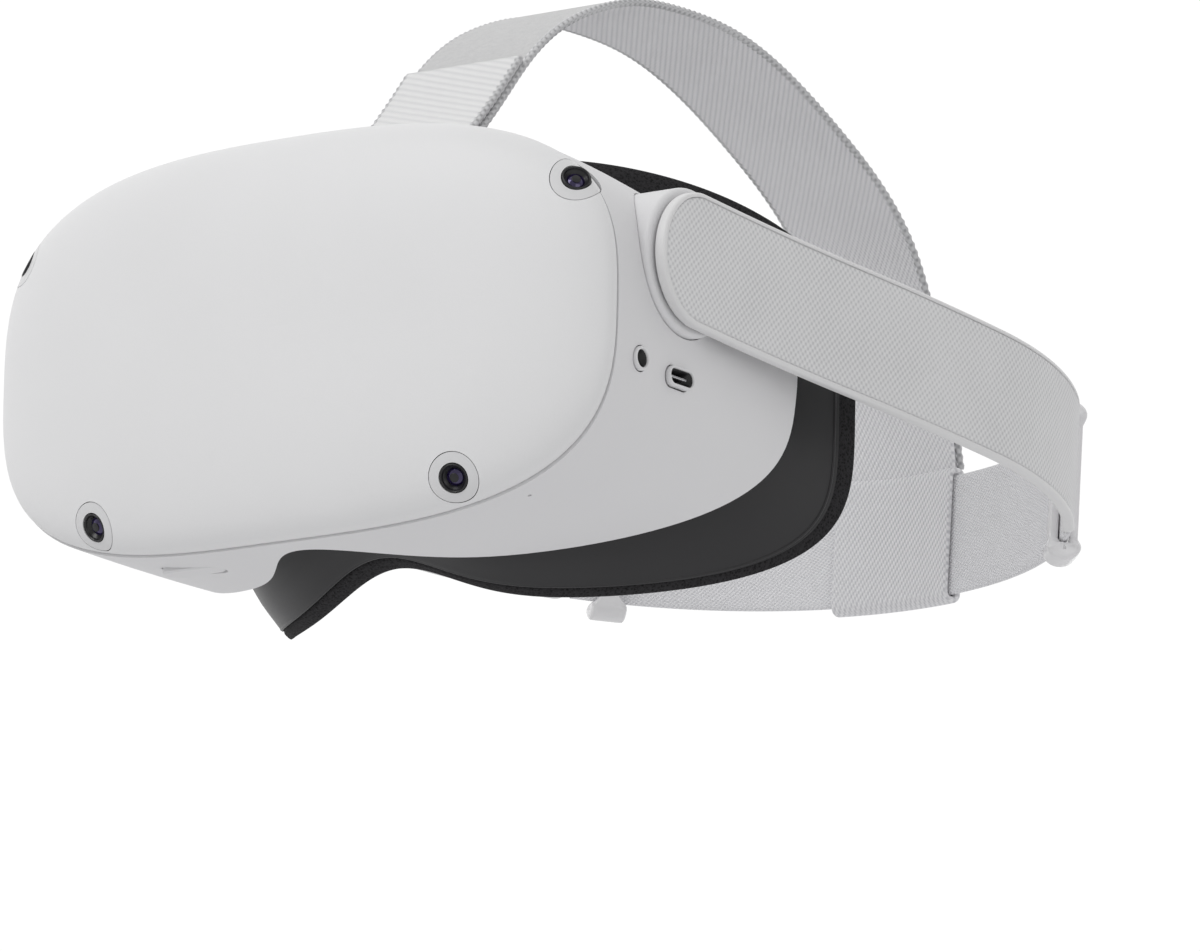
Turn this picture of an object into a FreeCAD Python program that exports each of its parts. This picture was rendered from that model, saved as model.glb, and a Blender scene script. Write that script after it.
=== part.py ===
"""A standalone headset: a white visor and housing, a dark face pad, and a jointed head strap.

The model is drawn in a working frame: X across the face (the wearer's left is +X), Y from the front
of the visor (Y = 0) to the back of the head, Z up from the middle of the visor.  Every sub-part is
then shifted by the same Placement, so that the origin of the finished assembly is the middle of its
footprint, on the surface it stands on.  The head strap is drawn level, in a frame of its own whose
origin is the middle of the two strap pivots, and its Placement also tilts it down towards the back.
"""
import FreeCAD, Part
import Sketcher
import math
import os

from FreeCAD import Placement, Rotation, Vector

doc = FreeCAD.newDocument("Headset")
sheet = doc.addObject("Spreadsheet::Sheet", "sizes")

# ---------------------------------------------------------------------------------------------
# Driving dimensions, in millimetres and degrees.  The ones that start with = follow others.
# ---------------------------------------------------------------------------------------------
DIMENSIONS = {
    # visor: a domed shell with a rounded outline and a curved seam behind it
    "visor_half_width": 92.2,
    "visor_half_height": 50.0,
    "visor_mid_height": 2.5,
    "visor_roundness": 3.04,
    "dome_depth": 12.8,
    "dome_fullness": 2.54,
    "seam_sweep": 8.8,
    "seam_gap": 0.4,
    "shell_wall": 2.2,
    # housing skin behind the seam, and the rim it ends in
    "housing_waist_growth": 0.6,
    "housing_back_taper": 8.0,
    "housing_belly": 1.6,
    "housing_length": 130.0,
    "rim_centre": 46.2,
    "rim_sweep": 87.3,
    "rim_span": "=visor_half_width + 3.8",
    "rim_lean": 0.193,
    "nose_notch_front": 20.8,
    "nose_notch_spread": 21.5,
    # face pad: a hollow plastic funnel that carries a foam ring
    "pad_half_width": "=visor_half_width - 11.2",
    "pad_top": "=visor_half_height + 8",
    "pad_bottom": "=visor_half_height + 5.6",
    "pad_roundness": 3.85,
    "pad_centre": 62.0,
    "pad_sweep": 150.0,
    "pad_span": "=visor_half_width - 0.2",
    "pad_front": 23.0,
    "pad_waist": 11.0,
    "brow_dip": 5.0,
    "brow_spread": 22.0,
    "pad_wall": 2.2,
    "pad_flange": 11.0,
    "foam_swell": 2.5,
    "foam_bond": 0.25,
    "foam_width": 14.0,
    "nose_arch_height": 10.0,
    "nose_arch_spread": 22.0,
    "pad_lead": 1.0,
    # tracking cameras
    "camera_low_across": "=visor_half_width * 0.589",
    "camera_low_height": "=visor_mid_height - visor_half_height * 0.828",
    "camera_high_across": "=visor_half_width * 0.9046",
    "camera_high_height": "=visor_mid_height + visor_half_height * 0.608",
    "bezel_radius": 6.3,
    "bezel_gap": 0.2,
    "camera_radius": 3.6,
    "camera_length": 9.0,
    "camera_recess": 0.5,
    # lenses and their slides
    "lens_spacing": 63.0,
    "lens_height": 2.5,
    "lens_radius": 21.0,
    "lens_thickness": 9.0,
    "lens_back": 52.0,
    "barrel_wall": 2.0,
    "barrel_length": 18.0,
    "rail_radius": 1.5,
    "rail_clearance": 0.05,
    "rail_length": "=2 * visor_half_width - 66.4",
    "rail_above_barrel": 1.3,
    "lug_width": 12.0,
    "lug_length": 8.0,
    "lug_drop": 3.2,
    "bracket_width": 6.0,
    "lens_plate_thickness": 2.0,
    "lens_plate_setback": 9.0,
    "lens_plate_gap": 1.0,
    "lens_travel": 2.5,
    "lens_fit": 0.02,
    "lens_lip": 1.5,
    "sensor_radius": 3.2,
    "sensor_length": 3.0,
    "sensor_above_lens": 22.0,
    # electronics
    "frame_front": 17.0,
    "frame_thickness": 1.6,
    "board_thickness": 1.6,
    "board_width": 120.0,
    "board_height": 57.0,
    "display_width": 128.0,
    "display_height": 66.0,
    "display_thickness": 3.0,
    "battery_width": 62.0,
    "battery_height": 40.0,
    "battery_thickness": 5.5,
    "fan_radius": 16.0,
    "fan_thickness": 6.0,
    "fan_across": 38.0,
    "sink_width": 30.0,
    "sink_height": 11.0,
    "sink_base": 1.2,
    "sink_fin": 1.0,
    "sink_fin_depth": 5.0,
    "stack_gap": 0.4,
    # side ports, button and rocker
    "jack_depth": 32.0,
    "jack_height": -9.5,
    "jack_bore_radius": 1.75,
    "jack_length": 13.0,
    "port_depth": 48.5,
    "port_height": -11.0,
    "jack_collar_radius": 3.0,
    "port_width": 8.9,
    "port_thickness": 3.2,
    "port_rim": 0.9,
    "port_length": 8.0,
    "tongue_width": 6.4,
    "tongue_thickness": 0.7,
    "side_face": "=visor_half_width + 0.7",
    "fit_gap": 0.25,
    "button_radius": 3.0,
    "button_gap": 0.35,
    "button_stand": 0.4,
    "button_length": 7.0,
    "button_depth": 34.0,
    "button_height": -9.0,
    "led_radius": 0.9,
    "led_length": 5.0,
    "led_depth": 43.0,
    "rocker_length": 18.0,
    "rocker_width": 6.6,
    "rocker_thickness": 2.8,
    "rocker_chamfer": 0.4,
    "rocker_height": "=visor_mid_height - visor_half_height - 0.3",
    "rocker_across": 39.0,
    "rocker_depth": 30.0,
    "microphone_radius": 0.5,
    "microphone_across": 66.0,
    "microphone_depth": 24.0,
    # pivots and strap
    "pivot_depth": 50.5,
    "pivot_height": 17.7,
    "pivot_boss_radius": 18.3,
    "pivot_boss_face": "=visor_half_width + 1.2",
    "pivot_boss_length": 15.0,
    "pivot_boss_rounding": 1.2,
    "pivot_shaft_hold": 4.0,
    "pivot_shaft_radius": 5.0,
    "pivot_clearance": 0.06,
    "arm_outer": "=visor_half_width + 5",
    "arm_thickness": 3.2,
    "arm_height": 33.4,
    "arm_bow": 4.0,
    "bow_start": 9.5,
    "bow_end": 123.8,
    "arm_end_angle": 37.0,
    "arm_border": 1.2,
    "panel_thickness": 0.8,
    "panel_gap": 0.1,
    "speaker_start": 22.0,
    "speaker_length": 24.0,
    "speaker_height": 10.0,
    "speaker_depth": 1.5,
    "strap_tilt": 3.8,
    "band_radius": "=visor_half_width + 6.8",
    "band_half_angle": 65.0,
    "band_thickness": 2.2,
    "band_inset": 0.5,
    "slider_angle": 47.0,
    "slider_width": 12.0,
    "slider_wall": 2.2,
    "slider_clearance": 0.4,
    "slider_overhang": 4.5,
    # top strap
    "top_strap_width": 36.0,
    "top_strap_thickness": 1.7,
    "loop_width": 38.0,
    "slot_depth": 42.5,
    "slot_opening": 5.2,
    "slot_side_gap": 1.5,
    "anchor_bar": 5.4,
    # where the working frame sits in the finished assembly
    "frame_shift_back": 142.75,
    "frame_shift_up": 54.29,
}
for row, (alias, number) in enumerate(DIMENSIONS.items(), start=1):
    sheet.set(f"A{row}", alias)
    sheet.set(f"B{row}", str(number))
    sheet.setAlias(f"B{row}", alias)
doc.recompute()


def size(alias):
    """One driving dimension, read from the sheet."""
    return float(getattr(sheet, alias))


# ---------------------------------------------------------------------------------------------
# Placements
# ---------------------------------------------------------------------------------------------
FRAME = Placement(Vector(0, -size("frame_shift_back"), size("frame_shift_up")), Rotation())
STRAP_FRAME = FRAME.multiply(Placement(
    Vector(0, size("pivot_depth"), size("pivot_height")),
    Rotation(Vector(1, 0, 0), -size("strap_tilt"))))
ALONG_X = Rotation(Vector(0, 1, 0), 90)
ALONG_Y = Rotation(Vector(1, 0, 0), -90)

nodes = []


def keep(thing, label):
    """Count an object of the document as a sub-part, under the name of its file."""
    thing.Label = label
    nodes.append(thing)
    return thing


def feature(label, shape, placement=FRAME):
    """A sub-part whose surface is worked out in code.  Its Placement is set after its shape, and
    keeps any move that the shape already carries."""
    thing = doc.addObject("Part::Feature", label)
    thing.Shape = shape
    thing.Placement = placement.multiply(shape.Placement)
    return keep(thing, label)


def place(thing, across, depth, height, rotation=Rotation()):
    """Bind a sub-part's place to the sheet: three expressions in the working frame."""
    thing.Placement = Placement(Vector(), rotation)
    thing.setExpression("Placement.Base.x", across)
    thing.setExpression("Placement.Base.y", f"{depth} - sizes.frame_shift_back")
    thing.setExpression("Placement.Base.z", f"{height} + sizes.frame_shift_up")


# ---------------------------------------------------------------------------------------------
# Rounded outlines, and hollow shells between rings of points
# ---------------------------------------------------------------------------------------------
RING_POINTS = 96
LOFT_DEGREE = 3


def superellipse(angle, half_width, top, bottom, roundness, share=1.0):
    """One point (x, z) of a rounded outline: radius 1 / (|cos/a|^n + |sin/b|^n)^(1/n)."""
    middle = (top + bottom) / 2.0
    half_height = (top - bottom) / 2.0
    across = abs(math.cos(angle) / half_width) ** roundness
    upward = abs(math.sin(angle) / half_height) ** roundness
    radius = share / (across + upward) ** (1.0 / roundness)
    return radius * math.cos(angle), middle + radius * math.sin(angle)


def around():
    """The angles at which every ring has its points."""
    return [2.0 * math.pi * step / RING_POINTS for step in range(RING_POINTS)]


def smooth_ring(points):
    """One closed smooth wire through the points of a ring."""
    curve = Part.BSplineCurve()
    curve.interpolate(Points=points, PeriodicFlag=True)
    return Part.Wire([curve.toShape()])


def shell_between(outer_rings, inner_rings, capped=False, straight_start=False):
    """A hollow solid: an outer and an inner skin, joined at the back, and at the front too unless
    each skin is closed there by a flat cap.  A straight start rules the first span of each skin,
    so that the smooth stretch behind it can't swing past its first ring."""
    outer = [smooth_ring(points) for points in outer_rings]
    inner = [smooth_ring(points) for points in inner_rings]
    faces = Part.makeLoft([outer[-1], inner[-1]], False, True).Faces
    for skin in (outer, inner):
        if straight_start:
            faces += Part.makeLoft(skin[:2], False, True).Faces
            skin = skin[1:]
        faces += Part.makeLoft(skin, False, False, False, LOFT_DEGREE).Faces
    if capped:
        faces += [Part.Face(outer[0]), Part.Face(inner[0])]
    else:
        faces += Part.makeLoft([outer[0], inner[0]], False, True).Faces
    shell = Part.makeShell(faces)
    shell.sewShape()
    solid = Part.Solid(shell)
    if solid.Volume < 0:
        solid.reverse()
    return solid


def seam_depth(x, shift=0.0):
    """The seam between visor and housing is a parabola in plan."""
    reach = x / size("visor_half_width")
    return size("dome_depth") + size("seam_sweep") * reach ** 2 + shift


def dome_lift(share):
    """How far in front of the seam the dome stands, at a share of the outline's radius."""
    fullness = size("dome_fullness")
    return size("dome_depth") * max(1.0 - share ** fullness, 0.0) ** (1.0 / fullness)


DOME_RINGS = (0.04, 0.14, 0.25, 0.375, 0.5, 0.625, 0.75, 0.85, 0.93, 0.98, 1.0)


def dome_rings(inset, skirt):
    """Rings of the visor's dome, from its flat middle to the seam and a straight skirt beyond."""
    middle = size("visor_mid_height")
    half_height = size("visor_half_height") - inset
    rings = []
    for share in DOME_RINGS:
        points = []
        for angle in around():
            x, z = superellipse(angle, size("visor_half_width") - inset, middle + half_height,
                                middle - half_height, size("visor_roundness"), share)
            depth = seam_depth(x) + inset * (1.0 - share ** 8) - dome_lift(share)
            points.append(Vector(x, inset if share == DOME_RINGS[0] else depth, z))
        rings.append(points)
    if skirt:
        rings.append([point + Vector(0, skirt, 0) for point in rings[-1]])
    return rings


def housing_section(angle, depth, inset):
    """A point of the housing's skin: it swells at the waist, and narrows towards the face."""
    middle = size("visor_mid_height")
    share = max(depth, 0.0) / size("housing_length")
    swell = size("housing_waist_growth") * math.sin(math.pi * min(share * 1.8, 1.0))
    half_width = size("visor_half_width") + swell - size("housing_back_taper") * share ** 2
    top = middle + size("visor_half_height") - 2.0 * size("housing_back_taper") * share ** 2
    bottom = middle - size("visor_half_height") - size("housing_belly") * math.sin(math.pi * share)
    return superellipse(angle, half_width - inset, top - inset, bottom + inset,
                        size("visor_roundness"))


def rim_depth(x, z):
    """The housing's back edge: half an ellipse in plan, leaning back with height up to the
    middle, with a bell-shaped notch for the nose in its lower edge."""
    reach = min(abs(x) / size("rim_span"), 1.0)
    depth = size("rim_centre") + size("rim_sweep") * (1.0 - math.sqrt(1.0 - reach ** 2))
    depth += size("rim_lean") * (min(z, 0.0) + size("visor_half_height") - 2.0)
    if z < 0:
        notch = size("rim_centre") - size("nose_notch_front")
        depth -= notch * math.exp(-(x / size("nose_notch_spread")) ** 2)
    return depth


def housing_rings(inset):
    """Rings of the housing's skin, from the seam to the rim."""
    rings = []
    for share in (0.0, 0.12, 0.35, 0.65, 0.9, 1.0):
        points = []
        for angle in around():
            depth = size("dome_depth")
            for _ in range(8):
                x, z = housing_section(angle, depth, inset)
                front = seam_depth(x, size("seam_gap"))
                depth = front + share * (rim_depth(x, z) - front)
            points.append(Vector(x, depth, z))
        rings.append(points)
    return rings


def pad_depth(x):
    """How far back the foam reaches: half an ellipse in plan, like the front of a face."""
    reach = min(abs(x) / size("pad_span"), 1.0)
    return size("pad_centre") + size("pad_sweep") * (1.0 - math.sqrt(1.0 - reach ** 2))


# How far the face pad is drawn in, at a setback from the face, as shares of its waist: on top it
# flares late, because the housing's rim reaches further back there.
PAD_FLARE = {28.0: (1.2, 1.18), 20.0: (1.2, 1.0), 11.0: (1.2, 0.45), 8.0: (1.17, 0.3),
             6.5: (1.05, 0.22), 5.0: (0.86, 0.15), 4.0: (0.66, 0.1), 2.0: (0.25, 0.03),
             0.0: (0.0, 0.0)}
SWELL_SHARES = {28.0: 0.0, 20.0: 0.3, 11.0: 0.7, 8.0: 0.9, 6.5: 1.0, 5.0: 1.0, 4.0: 0.8,
                2.0: 0.4, 0.0: 0.0}
FUNNEL_SETBACKS = (28.0, 20.0, 11.0, 8.0, 6.5, 5.0)
FOAM_SETBACKS = (5.0, 4.0, 2.0, 0.0)


def full_setback(setback, angle):
    """A setback, with the foam thicker above and below than it is at the sides."""
    return setback - size("foam_swell") * SWELL_SHARES[setback] * math.cos(2.0 * angle)


def pad_ring(setback, inset, narrowing=0.0, level=None):
    """One ring of the face pad, at a setback from the face or at a level depth."""
    flare_top, flare_bottom = (size("pad_waist") * share for share in PAD_FLARE[setback])
    corner_flare = flare_top * (1.0 - setback / FUNNEL_SETBACKS[0])
    points = []
    for angle in around():
        x, z = superellipse(
            angle, size("pad_half_width") - inset - 0.75 * flare_bottom - narrowing,
            size("pad_top") - inset - flare_top, inset + flare_bottom - size("pad_bottom"),
            size("pad_roundness"))
        if math.sin(angle) < 0:
            z += size("nose_arch_height") * math.exp(-(x / size("nose_arch_spread")) ** 2)
        else:
            z += corner_flare * z / size("pad_top") * abs(x / size("pad_half_width")) ** 4
            z -= size("brow_dip") * math.exp(-(x / size("brow_spread")) ** 2)
        depth = pad_depth(x) - full_setback(setback, angle) if level is None else level
        points.append(Vector(x, depth, z))
    return points


def block(low, high):
    """A plain box between two corners."""
    span = Vector(*high) - Vector(*low)
    return Part.makeBox(span.x, span.y, span.z, Vector(*low))


def mirrored(shape):
    """The same shape on the other side of the face."""
    return shape.mirror(Vector(0, 0, 0), Vector(1, 0, 0))


def on_side(shape, side):
    """The shape itself for the left side, 1, and its mirror image for the right side, -1."""
    return shape if side > 0 else mirrored(shape)


def side_cylinder(side, radius, depth, height, inner, outer):
    """A cylinder along X on one side of the headset."""
    across = Vector(1, 0, 0)
    return on_side(Part.makeCylinder(radius, outer - inner, Vector(inner, depth, height), across), side)


def stadium_face(length, width):
    """A level slot-shaped face about the origin, long way along X."""
    straight = (length - width) / 2.0
    radius = width / 2.0
    edges = [Part.makeLine(Vector(-straight, -radius, 0), Vector(straight, -radius, 0)),
             Part.Arc(Vector(straight, -radius, 0), Vector(straight + radius, 0, 0),
                      Vector(straight, radius, 0)).toShape(),
             Part.makeLine(Vector(straight, radius, 0), Vector(-straight, radius, 0)),
             Part.Arc(Vector(-straight, radius, 0), Vector(-straight - radius, 0, 0),
                      Vector(-straight, -radius, 0)).toShape()]
    return Part.Face(Part.Wire(edges))


def side_slot(length, width, depth, height, inner, outer):
    """A slot along X on the left side, its long way along Y."""
    face = stadium_face(length, width)
    face.rotate(Vector(), Vector(0, 0, 1), 90)
    face.rotate(Vector(), Vector(0, 1, 0), 90)
    face.translate(Vector(inner, depth, height))
    return face.extrude(Vector(outer - inner, 0, 0))


# ---------------------------------------------------------------------------------------------
# Tracking cameras, set square to the dome
# ---------------------------------------------------------------------------------------------
def camera_axis(across, height):
    """Where a camera meets the dome, and the direction straight out of the dome there."""
    def dome(x, z):
        reach = abs(x / size("visor_half_width")) ** size("visor_roundness")
        rise = abs((z - size("visor_mid_height")) / size("visor_half_height"))
        share = (reach + rise ** size("visor_roundness")) ** (1.0 / size("visor_roundness"))
        return seam_depth(x) - dome_lift(share)
    step = 0.4
    slope_x = (dome(across + step, height) - dome(across - step, height)) / (2 * step)
    slope_z = (dome(across, height + step) - dome(across, height - step)) / (2 * step)
    return Vector(across, dome(across, height), height), Vector(slope_x, -1.0, slope_z).normalize()


def along(spot, direction, radius, start, end):
    """A cylinder on an axis, between two distances from a spot."""
    return Part.makeCylinder(radius, end - start, spot + direction * start, direction)


wall = size("shell_wall")
SKIRT = 14.0
visor_shell = shell_between(dome_rings(0.0, 0), dome_rings(wall, 0), capped=True)
skirted_shell = shell_between(dome_rings(0.0, SKIRT), dome_rings(wall, SKIRT), capped=True)
housing_shell = shell_between(housing_rings(0.0), housing_rings(wall))

BEZEL_REACH = 9.0
bezel_radius = size("bezel_radius")
module_radius = size("camera_radius")
camera_cuts = []
for level in ("low", "high"):
    spot, outward = camera_axis(size(f"camera_{level}_across"), size(f"camera_{level}_height"))
    seat = along(spot, outward, bezel_radius + size("bezel_gap"), -BEZEL_REACH, BEZEL_REACH)
    core = along(spot, outward, bezel_radius, -BEZEL_REACH, BEZEL_REACH)
    hole = along(spot, outward, module_radius + size("bezel_gap"), -BEZEL_REACH, BEZEL_REACH)
    bezel = skirted_shell.common(core).cut(hole)
    barrel = along(spot, outward, module_radius, -size("camera_length"), -size("camera_recess"))
    for side, name in ((1, "left"), (-1, "right")):
        feature(f"camera_bezel_{level}_{name}", on_side(bezel, side))
        feature(f"camera_module_{level}_{name}", on_side(barrel, side))
        camera_cuts.append(on_side(seat, side))

front_visor = visor_shell
rear_housing = housing_shell
for seat in camera_cuts:
    front_visor = front_visor.cut(seat)
    rear_housing = rear_housing.cut(seat)
feature("front_visor", front_visor)

# ---------------------------------------------------------------------------------------------
# Openings in the housing: the pivots' seats, the two sockets on the left, the button on the
# right, the rocker and the microphone underneath, and the slot on top for the strap
# ---------------------------------------------------------------------------------------------
SIDE_NEAR, SIDE_FAR = 76.0, 110.0
BELOW, THROUGH = -65.0, 40.0
fit_gap = size("fit_gap")
for side in (1, -1):
    rear_housing = rear_housing.cut(side_cylinder(
        side, size("pivot_boss_radius") + fit_gap, size("pivot_depth"), size("pivot_height"),
        SIDE_NEAR, SIDE_FAR))
rear_housing = rear_housing.cut(side_cylinder(
    1, size("jack_collar_radius") + fit_gap, size("jack_depth"), size("jack_height"),
    SIDE_NEAR, SIDE_FAR))
mouth_length = size("port_width") + 2 * size("port_rim")
mouth_width = size("port_thickness") + 2 * size("port_rim")
rear_housing = rear_housing.cut(side_slot(
    mouth_length + 2 * fit_gap, mouth_width + 2 * fit_gap, size("port_depth"), size("port_height"),
    SIDE_NEAR, SIDE_FAR))
rear_housing = rear_housing.cut(side_cylinder(
    -1, size("button_radius") + size("button_gap"), size("button_depth"), size("button_height"),
    SIDE_NEAR, SIDE_FAR))
rear_housing = rear_housing.cut(side_cylinder(
    -1, size("led_radius") + fit_gap / 5, size("led_depth"), size("button_height"),
    SIDE_NEAR, SIDE_FAR))
rocker_hole = stadium_face(size("rocker_length") + 2 * size("button_gap"),
                           size("rocker_width") + 2 * size("button_gap"))
rocker_hole.translate(Vector(-size("rocker_across"), size("rocker_depth"), BELOW))
rear_housing = rear_housing.cut(rocker_hole.extrude(Vector(0, 0, THROUGH)))
microphone = Vector(size("microphone_across"), size("microphone_depth"), BELOW)
rear_housing = rear_housing.cut(
    Part.makeCylinder(size("microphone_radius"), THROUGH, microphone, Vector(0, 0, 1)))
slot_half = size("loop_width") / 2.0 + size("slot_side_gap")
slot_back = size("slot_depth") + size("slot_opening")
housing_top = size("visor_mid_height") + size("visor_half_height")
rear_housing = rear_housing.cut(block((-slot_half, size("slot_depth"), housing_top - 20.0),
                                      (slot_half, slot_back, housing_top + 20.0)))
feature("rear_housing", rear_housing)

# ---------------------------------------------------------------------------------------------
# Face pad: a plastic funnel, and the foam ring on its back
# ---------------------------------------------------------------------------------------------
FLANGE_SHARES = (0.0, 0.0, 0.0, 0.18, 0.5, 1.0)


def funnel_rings(wall, flange):
    """Rings of the funnel's skin, from its level front to the foam's front face: the wall
    thickens inwards by the flange's width over the last few millimetres, and
    ends short of the foam by the thickness of the bond."""
    rings = [pad_ring(FUNNEL_SETBACKS[0], wall, size("pad_lead"), size("pad_front"))]
    for setback, share in zip(FUNNEL_SETBACKS, FLANGE_SHARES):
        ring = pad_ring(setback, wall + share * flange)
        rings.append([point - Vector(0, size("foam_bond"), 0) for point in ring])
    return rings


flange = size("pad_flange") - size("pad_wall")
funnel = shell_between(funnel_rings(0.0, 0.0), funnel_rings(size("pad_wall"), flange),
                       straight_start=True)
feature("interface_frame", funnel)
foam_mouth = pad_ring(0.0, size("foam_width"))
foam_outside = [pad_ring(setback, 0.0) for setback in FOAM_SETBACKS]
foam_inside = [[point - Vector(0, full_setback(setback, angle), 0)
                for point, angle in zip(foam_mouth, around())] for setback in FOAM_SETBACKS]
feature("face_foam", shell_between(foam_outside, foam_inside))


# ---------------------------------------------------------------------------------------------
# Helpers for bodies drawn with sketches, whose sizes are bound to the sheet
# ---------------------------------------------------------------------------------------------
def body(label, across, depth, height, rotation=Rotation()):
    """An empty PartDesign body at a place in the working frame."""
    thing = doc.addObject("PartDesign::Body", label)
    place(thing, across, depth, height, rotation)
    return keep(thing, label)


def plane_sketch(thing, role, name):
    """A sketch on one of a body's own origin planes."""
    sketch = thing.newObject("Sketcher::SketchObject", name)
    plane = [item for item in thing.Origin.OriginFeatures if item.Role == role][0]
    sketch.AttachmentSupport = (plane, "")
    sketch.MapMode = "FlatFace"
    return sketch


def draw_rectangle(sketch, width, height):
    """A rectangle centred on the sketch's origin, its width and height as expressions."""
    corners = [Vector(-1, -1, 0), Vector(1, -1, 0), Vector(1, 1, 0), Vector(-1, 1, 0)]
    for index in range(4):
        sketch.addGeometry(Part.LineSegment(corners[index], corners[(index + 1) % 4]))
    for index in range(4):
        sketch.addConstraint(Sketcher.Constraint("Coincident", index, 2, (index + 1) % 4, 1))
    for index, kind in enumerate(("Horizontal", "Vertical", "Horizontal", "Vertical")):
        sketch.addConstraint(Sketcher.Constraint(kind, index))
    sketch.addConstraint(Sketcher.Constraint("Symmetric", 0, 1, 1, 2, -1, 1))
    wide = sketch.addConstraint(Sketcher.Constraint("DistanceX", 0, 1, 0, 2, 2.0))
    tall = sketch.addConstraint(Sketcher.Constraint("DistanceY", 1, 1, 1, 2, 2.0))
    sketch.setExpression(f"Constraints[{wide}]", width)
    sketch.setExpression(f"Constraints[{tall}]", height)


def draw_circle(sketch, radius):
    """A circle about the sketch's origin, its radius as an expression."""
    index = sketch.addGeometry(Part.Circle(Vector(), Vector(0, 0, 1), 1.0))
    sketch.addConstraint(Sketcher.Constraint("Coincident", index, 3, -1, 1))
    round_size = sketch.addConstraint(Sketcher.Constraint("Radius", index, 1.0))
    sketch.setExpression(f"Constraints[{round_size}]", radius)


def pad(thing, sketch, length, middle=False):
    """A pad of a sketch, its length as an expression."""
    solid = thing.newObject("PartDesign::Pad", f"{thing.Name}_pad")
    solid.Profile = sketch
    solid.setExpression("Length", length)
    if middle:
        solid.SideType = "Symmetric"
    return solid


def pocket(thing, sketch, length, middle=False):
    """A pocket of a sketch, its length as an expression."""
    cut = thing.newObject("PartDesign::Pocket", f"{thing.Name}_pocket")
    cut.Profile = sketch
    cut.setExpression("Length", length)
    if middle:
        cut.SideType = "Symmetric"
    return cut


def plate(label, width, tall, thick, across, depth, height):
    """A rectangular plate facing the front, drawn on the body's XZ plane about its middle."""
    thing = body(label, across, depth, height)
    sketch = plane_sketch(thing, "XZ_Plane", f"{label}_outline")
    draw_rectangle(sketch, width, tall)
    pad(thing, sketch, thick, middle=True)
    return thing


def disc(label, radius, thick, across, depth, height, rotation, bore=None):
    """A round piece about the body's own Z axis, with an optional bore right through it."""
    thing = body(label, across, depth, height, rotation)
    sketch = plane_sketch(thing, "XY_Plane", f"{label}_outline")
    draw_circle(sketch, radius)
    pad(thing, sketch, thick)
    if bore:
        hole = plane_sketch(thing, "XY_Plane", f"{label}_bore")
        draw_circle(hole, bore)
        cut = pocket(thing, hole, thick)
        cut.Reversed = True
    return thing


# ---------------------------------------------------------------------------------------------
# Inside the visor: frame, boards, battery, cooling and display
# ---------------------------------------------------------------------------------------------
frame_inset = wall + 4.0
frame_points = [superellipse(angle, size("visor_half_width") - frame_inset,
                             size("visor_mid_height") + size("visor_half_height") - frame_inset,
                             size("visor_mid_height") - size("visor_half_height") + frame_inset,
                             size("visor_roundness")) for angle in around()]
frame_edge = smooth_ring([Vector(x, size("frame_front"), z) for x, z in frame_points])
inner_frame = Part.Face(frame_edge).extrude(Vector(0, size("frame_thickness"), 0))
for seat in camera_cuts:
    inner_frame = inner_frame.cut(seat)
feature("inner_frame", inner_frame)

board_front = "sizes.frame_front - sizes.board_thickness - sizes.stack_gap"
plate("mainboard", "sizes.board_width", "sizes.board_height", "sizes.board_thickness",
      "0", "sizes.frame_front - sizes.board_thickness / 2 - sizes.stack_gap / 2",
      "sizes.visor_mid_height - 4")
plate("battery", "sizes.battery_width", "sizes.battery_height", "sizes.battery_thickness",
      "6 - sizes.battery_width / 2", f"{board_front} - sizes.battery_thickness / 2",
      "sizes.visor_mid_height - 8")
disc("cooling_fan", "sizes.fan_radius", "sizes.fan_thickness", "sizes.fan_across",
     f"{board_front} - sizes.fan_thickness", "sizes.visor_mid_height", ALONG_Y,
     bore="sizes.fan_radius / 3")

heat_sink = body("heat_sink", "sizes.fan_across", f"{board_front} - sizes.sink_base",
                 "sizes.visor_mid_height - sizes.fan_radius - sizes.sink_height / 2 - 2.5")
base_sketch = plane_sketch(heat_sink, "XZ_Plane", "heat_sink_base")
draw_rectangle(base_sketch, "sizes.sink_width", "sizes.sink_height")
pad(heat_sink, base_sketch, "sizes.sink_base", middle=True)
fin_sketch = plane_sketch(heat_sink, "XZ_Plane", "heat_sink_fin")
fin_sketch.setExpression("AttachmentOffset.Base.x", "-sizes.sink_width * 0.45")
draw_rectangle(fin_sketch, "sizes.sink_fin", "sizes.sink_height")
fin = pad(heat_sink, fin_sketch, "sizes.sink_fin_depth")
fins = heat_sink.newObject("PartDesign::LinearPattern", "heat_sink_fins")
fins.Originals = [fin]
fins.Direction = (fin_sketch, ["H_Axis"])
fins.setExpression("Length", "sizes.sink_width * 0.9")
fins.Occurrences = 9
heat_sink.Tip = fins

plate("display_panel", "sizes.display_width", "sizes.display_height", "sizes.display_thickness", "0",
      "sizes.frame_front + sizes.frame_thickness + sizes.stack_gap + sizes.display_thickness / 2",
      "sizes.lens_height")

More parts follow.
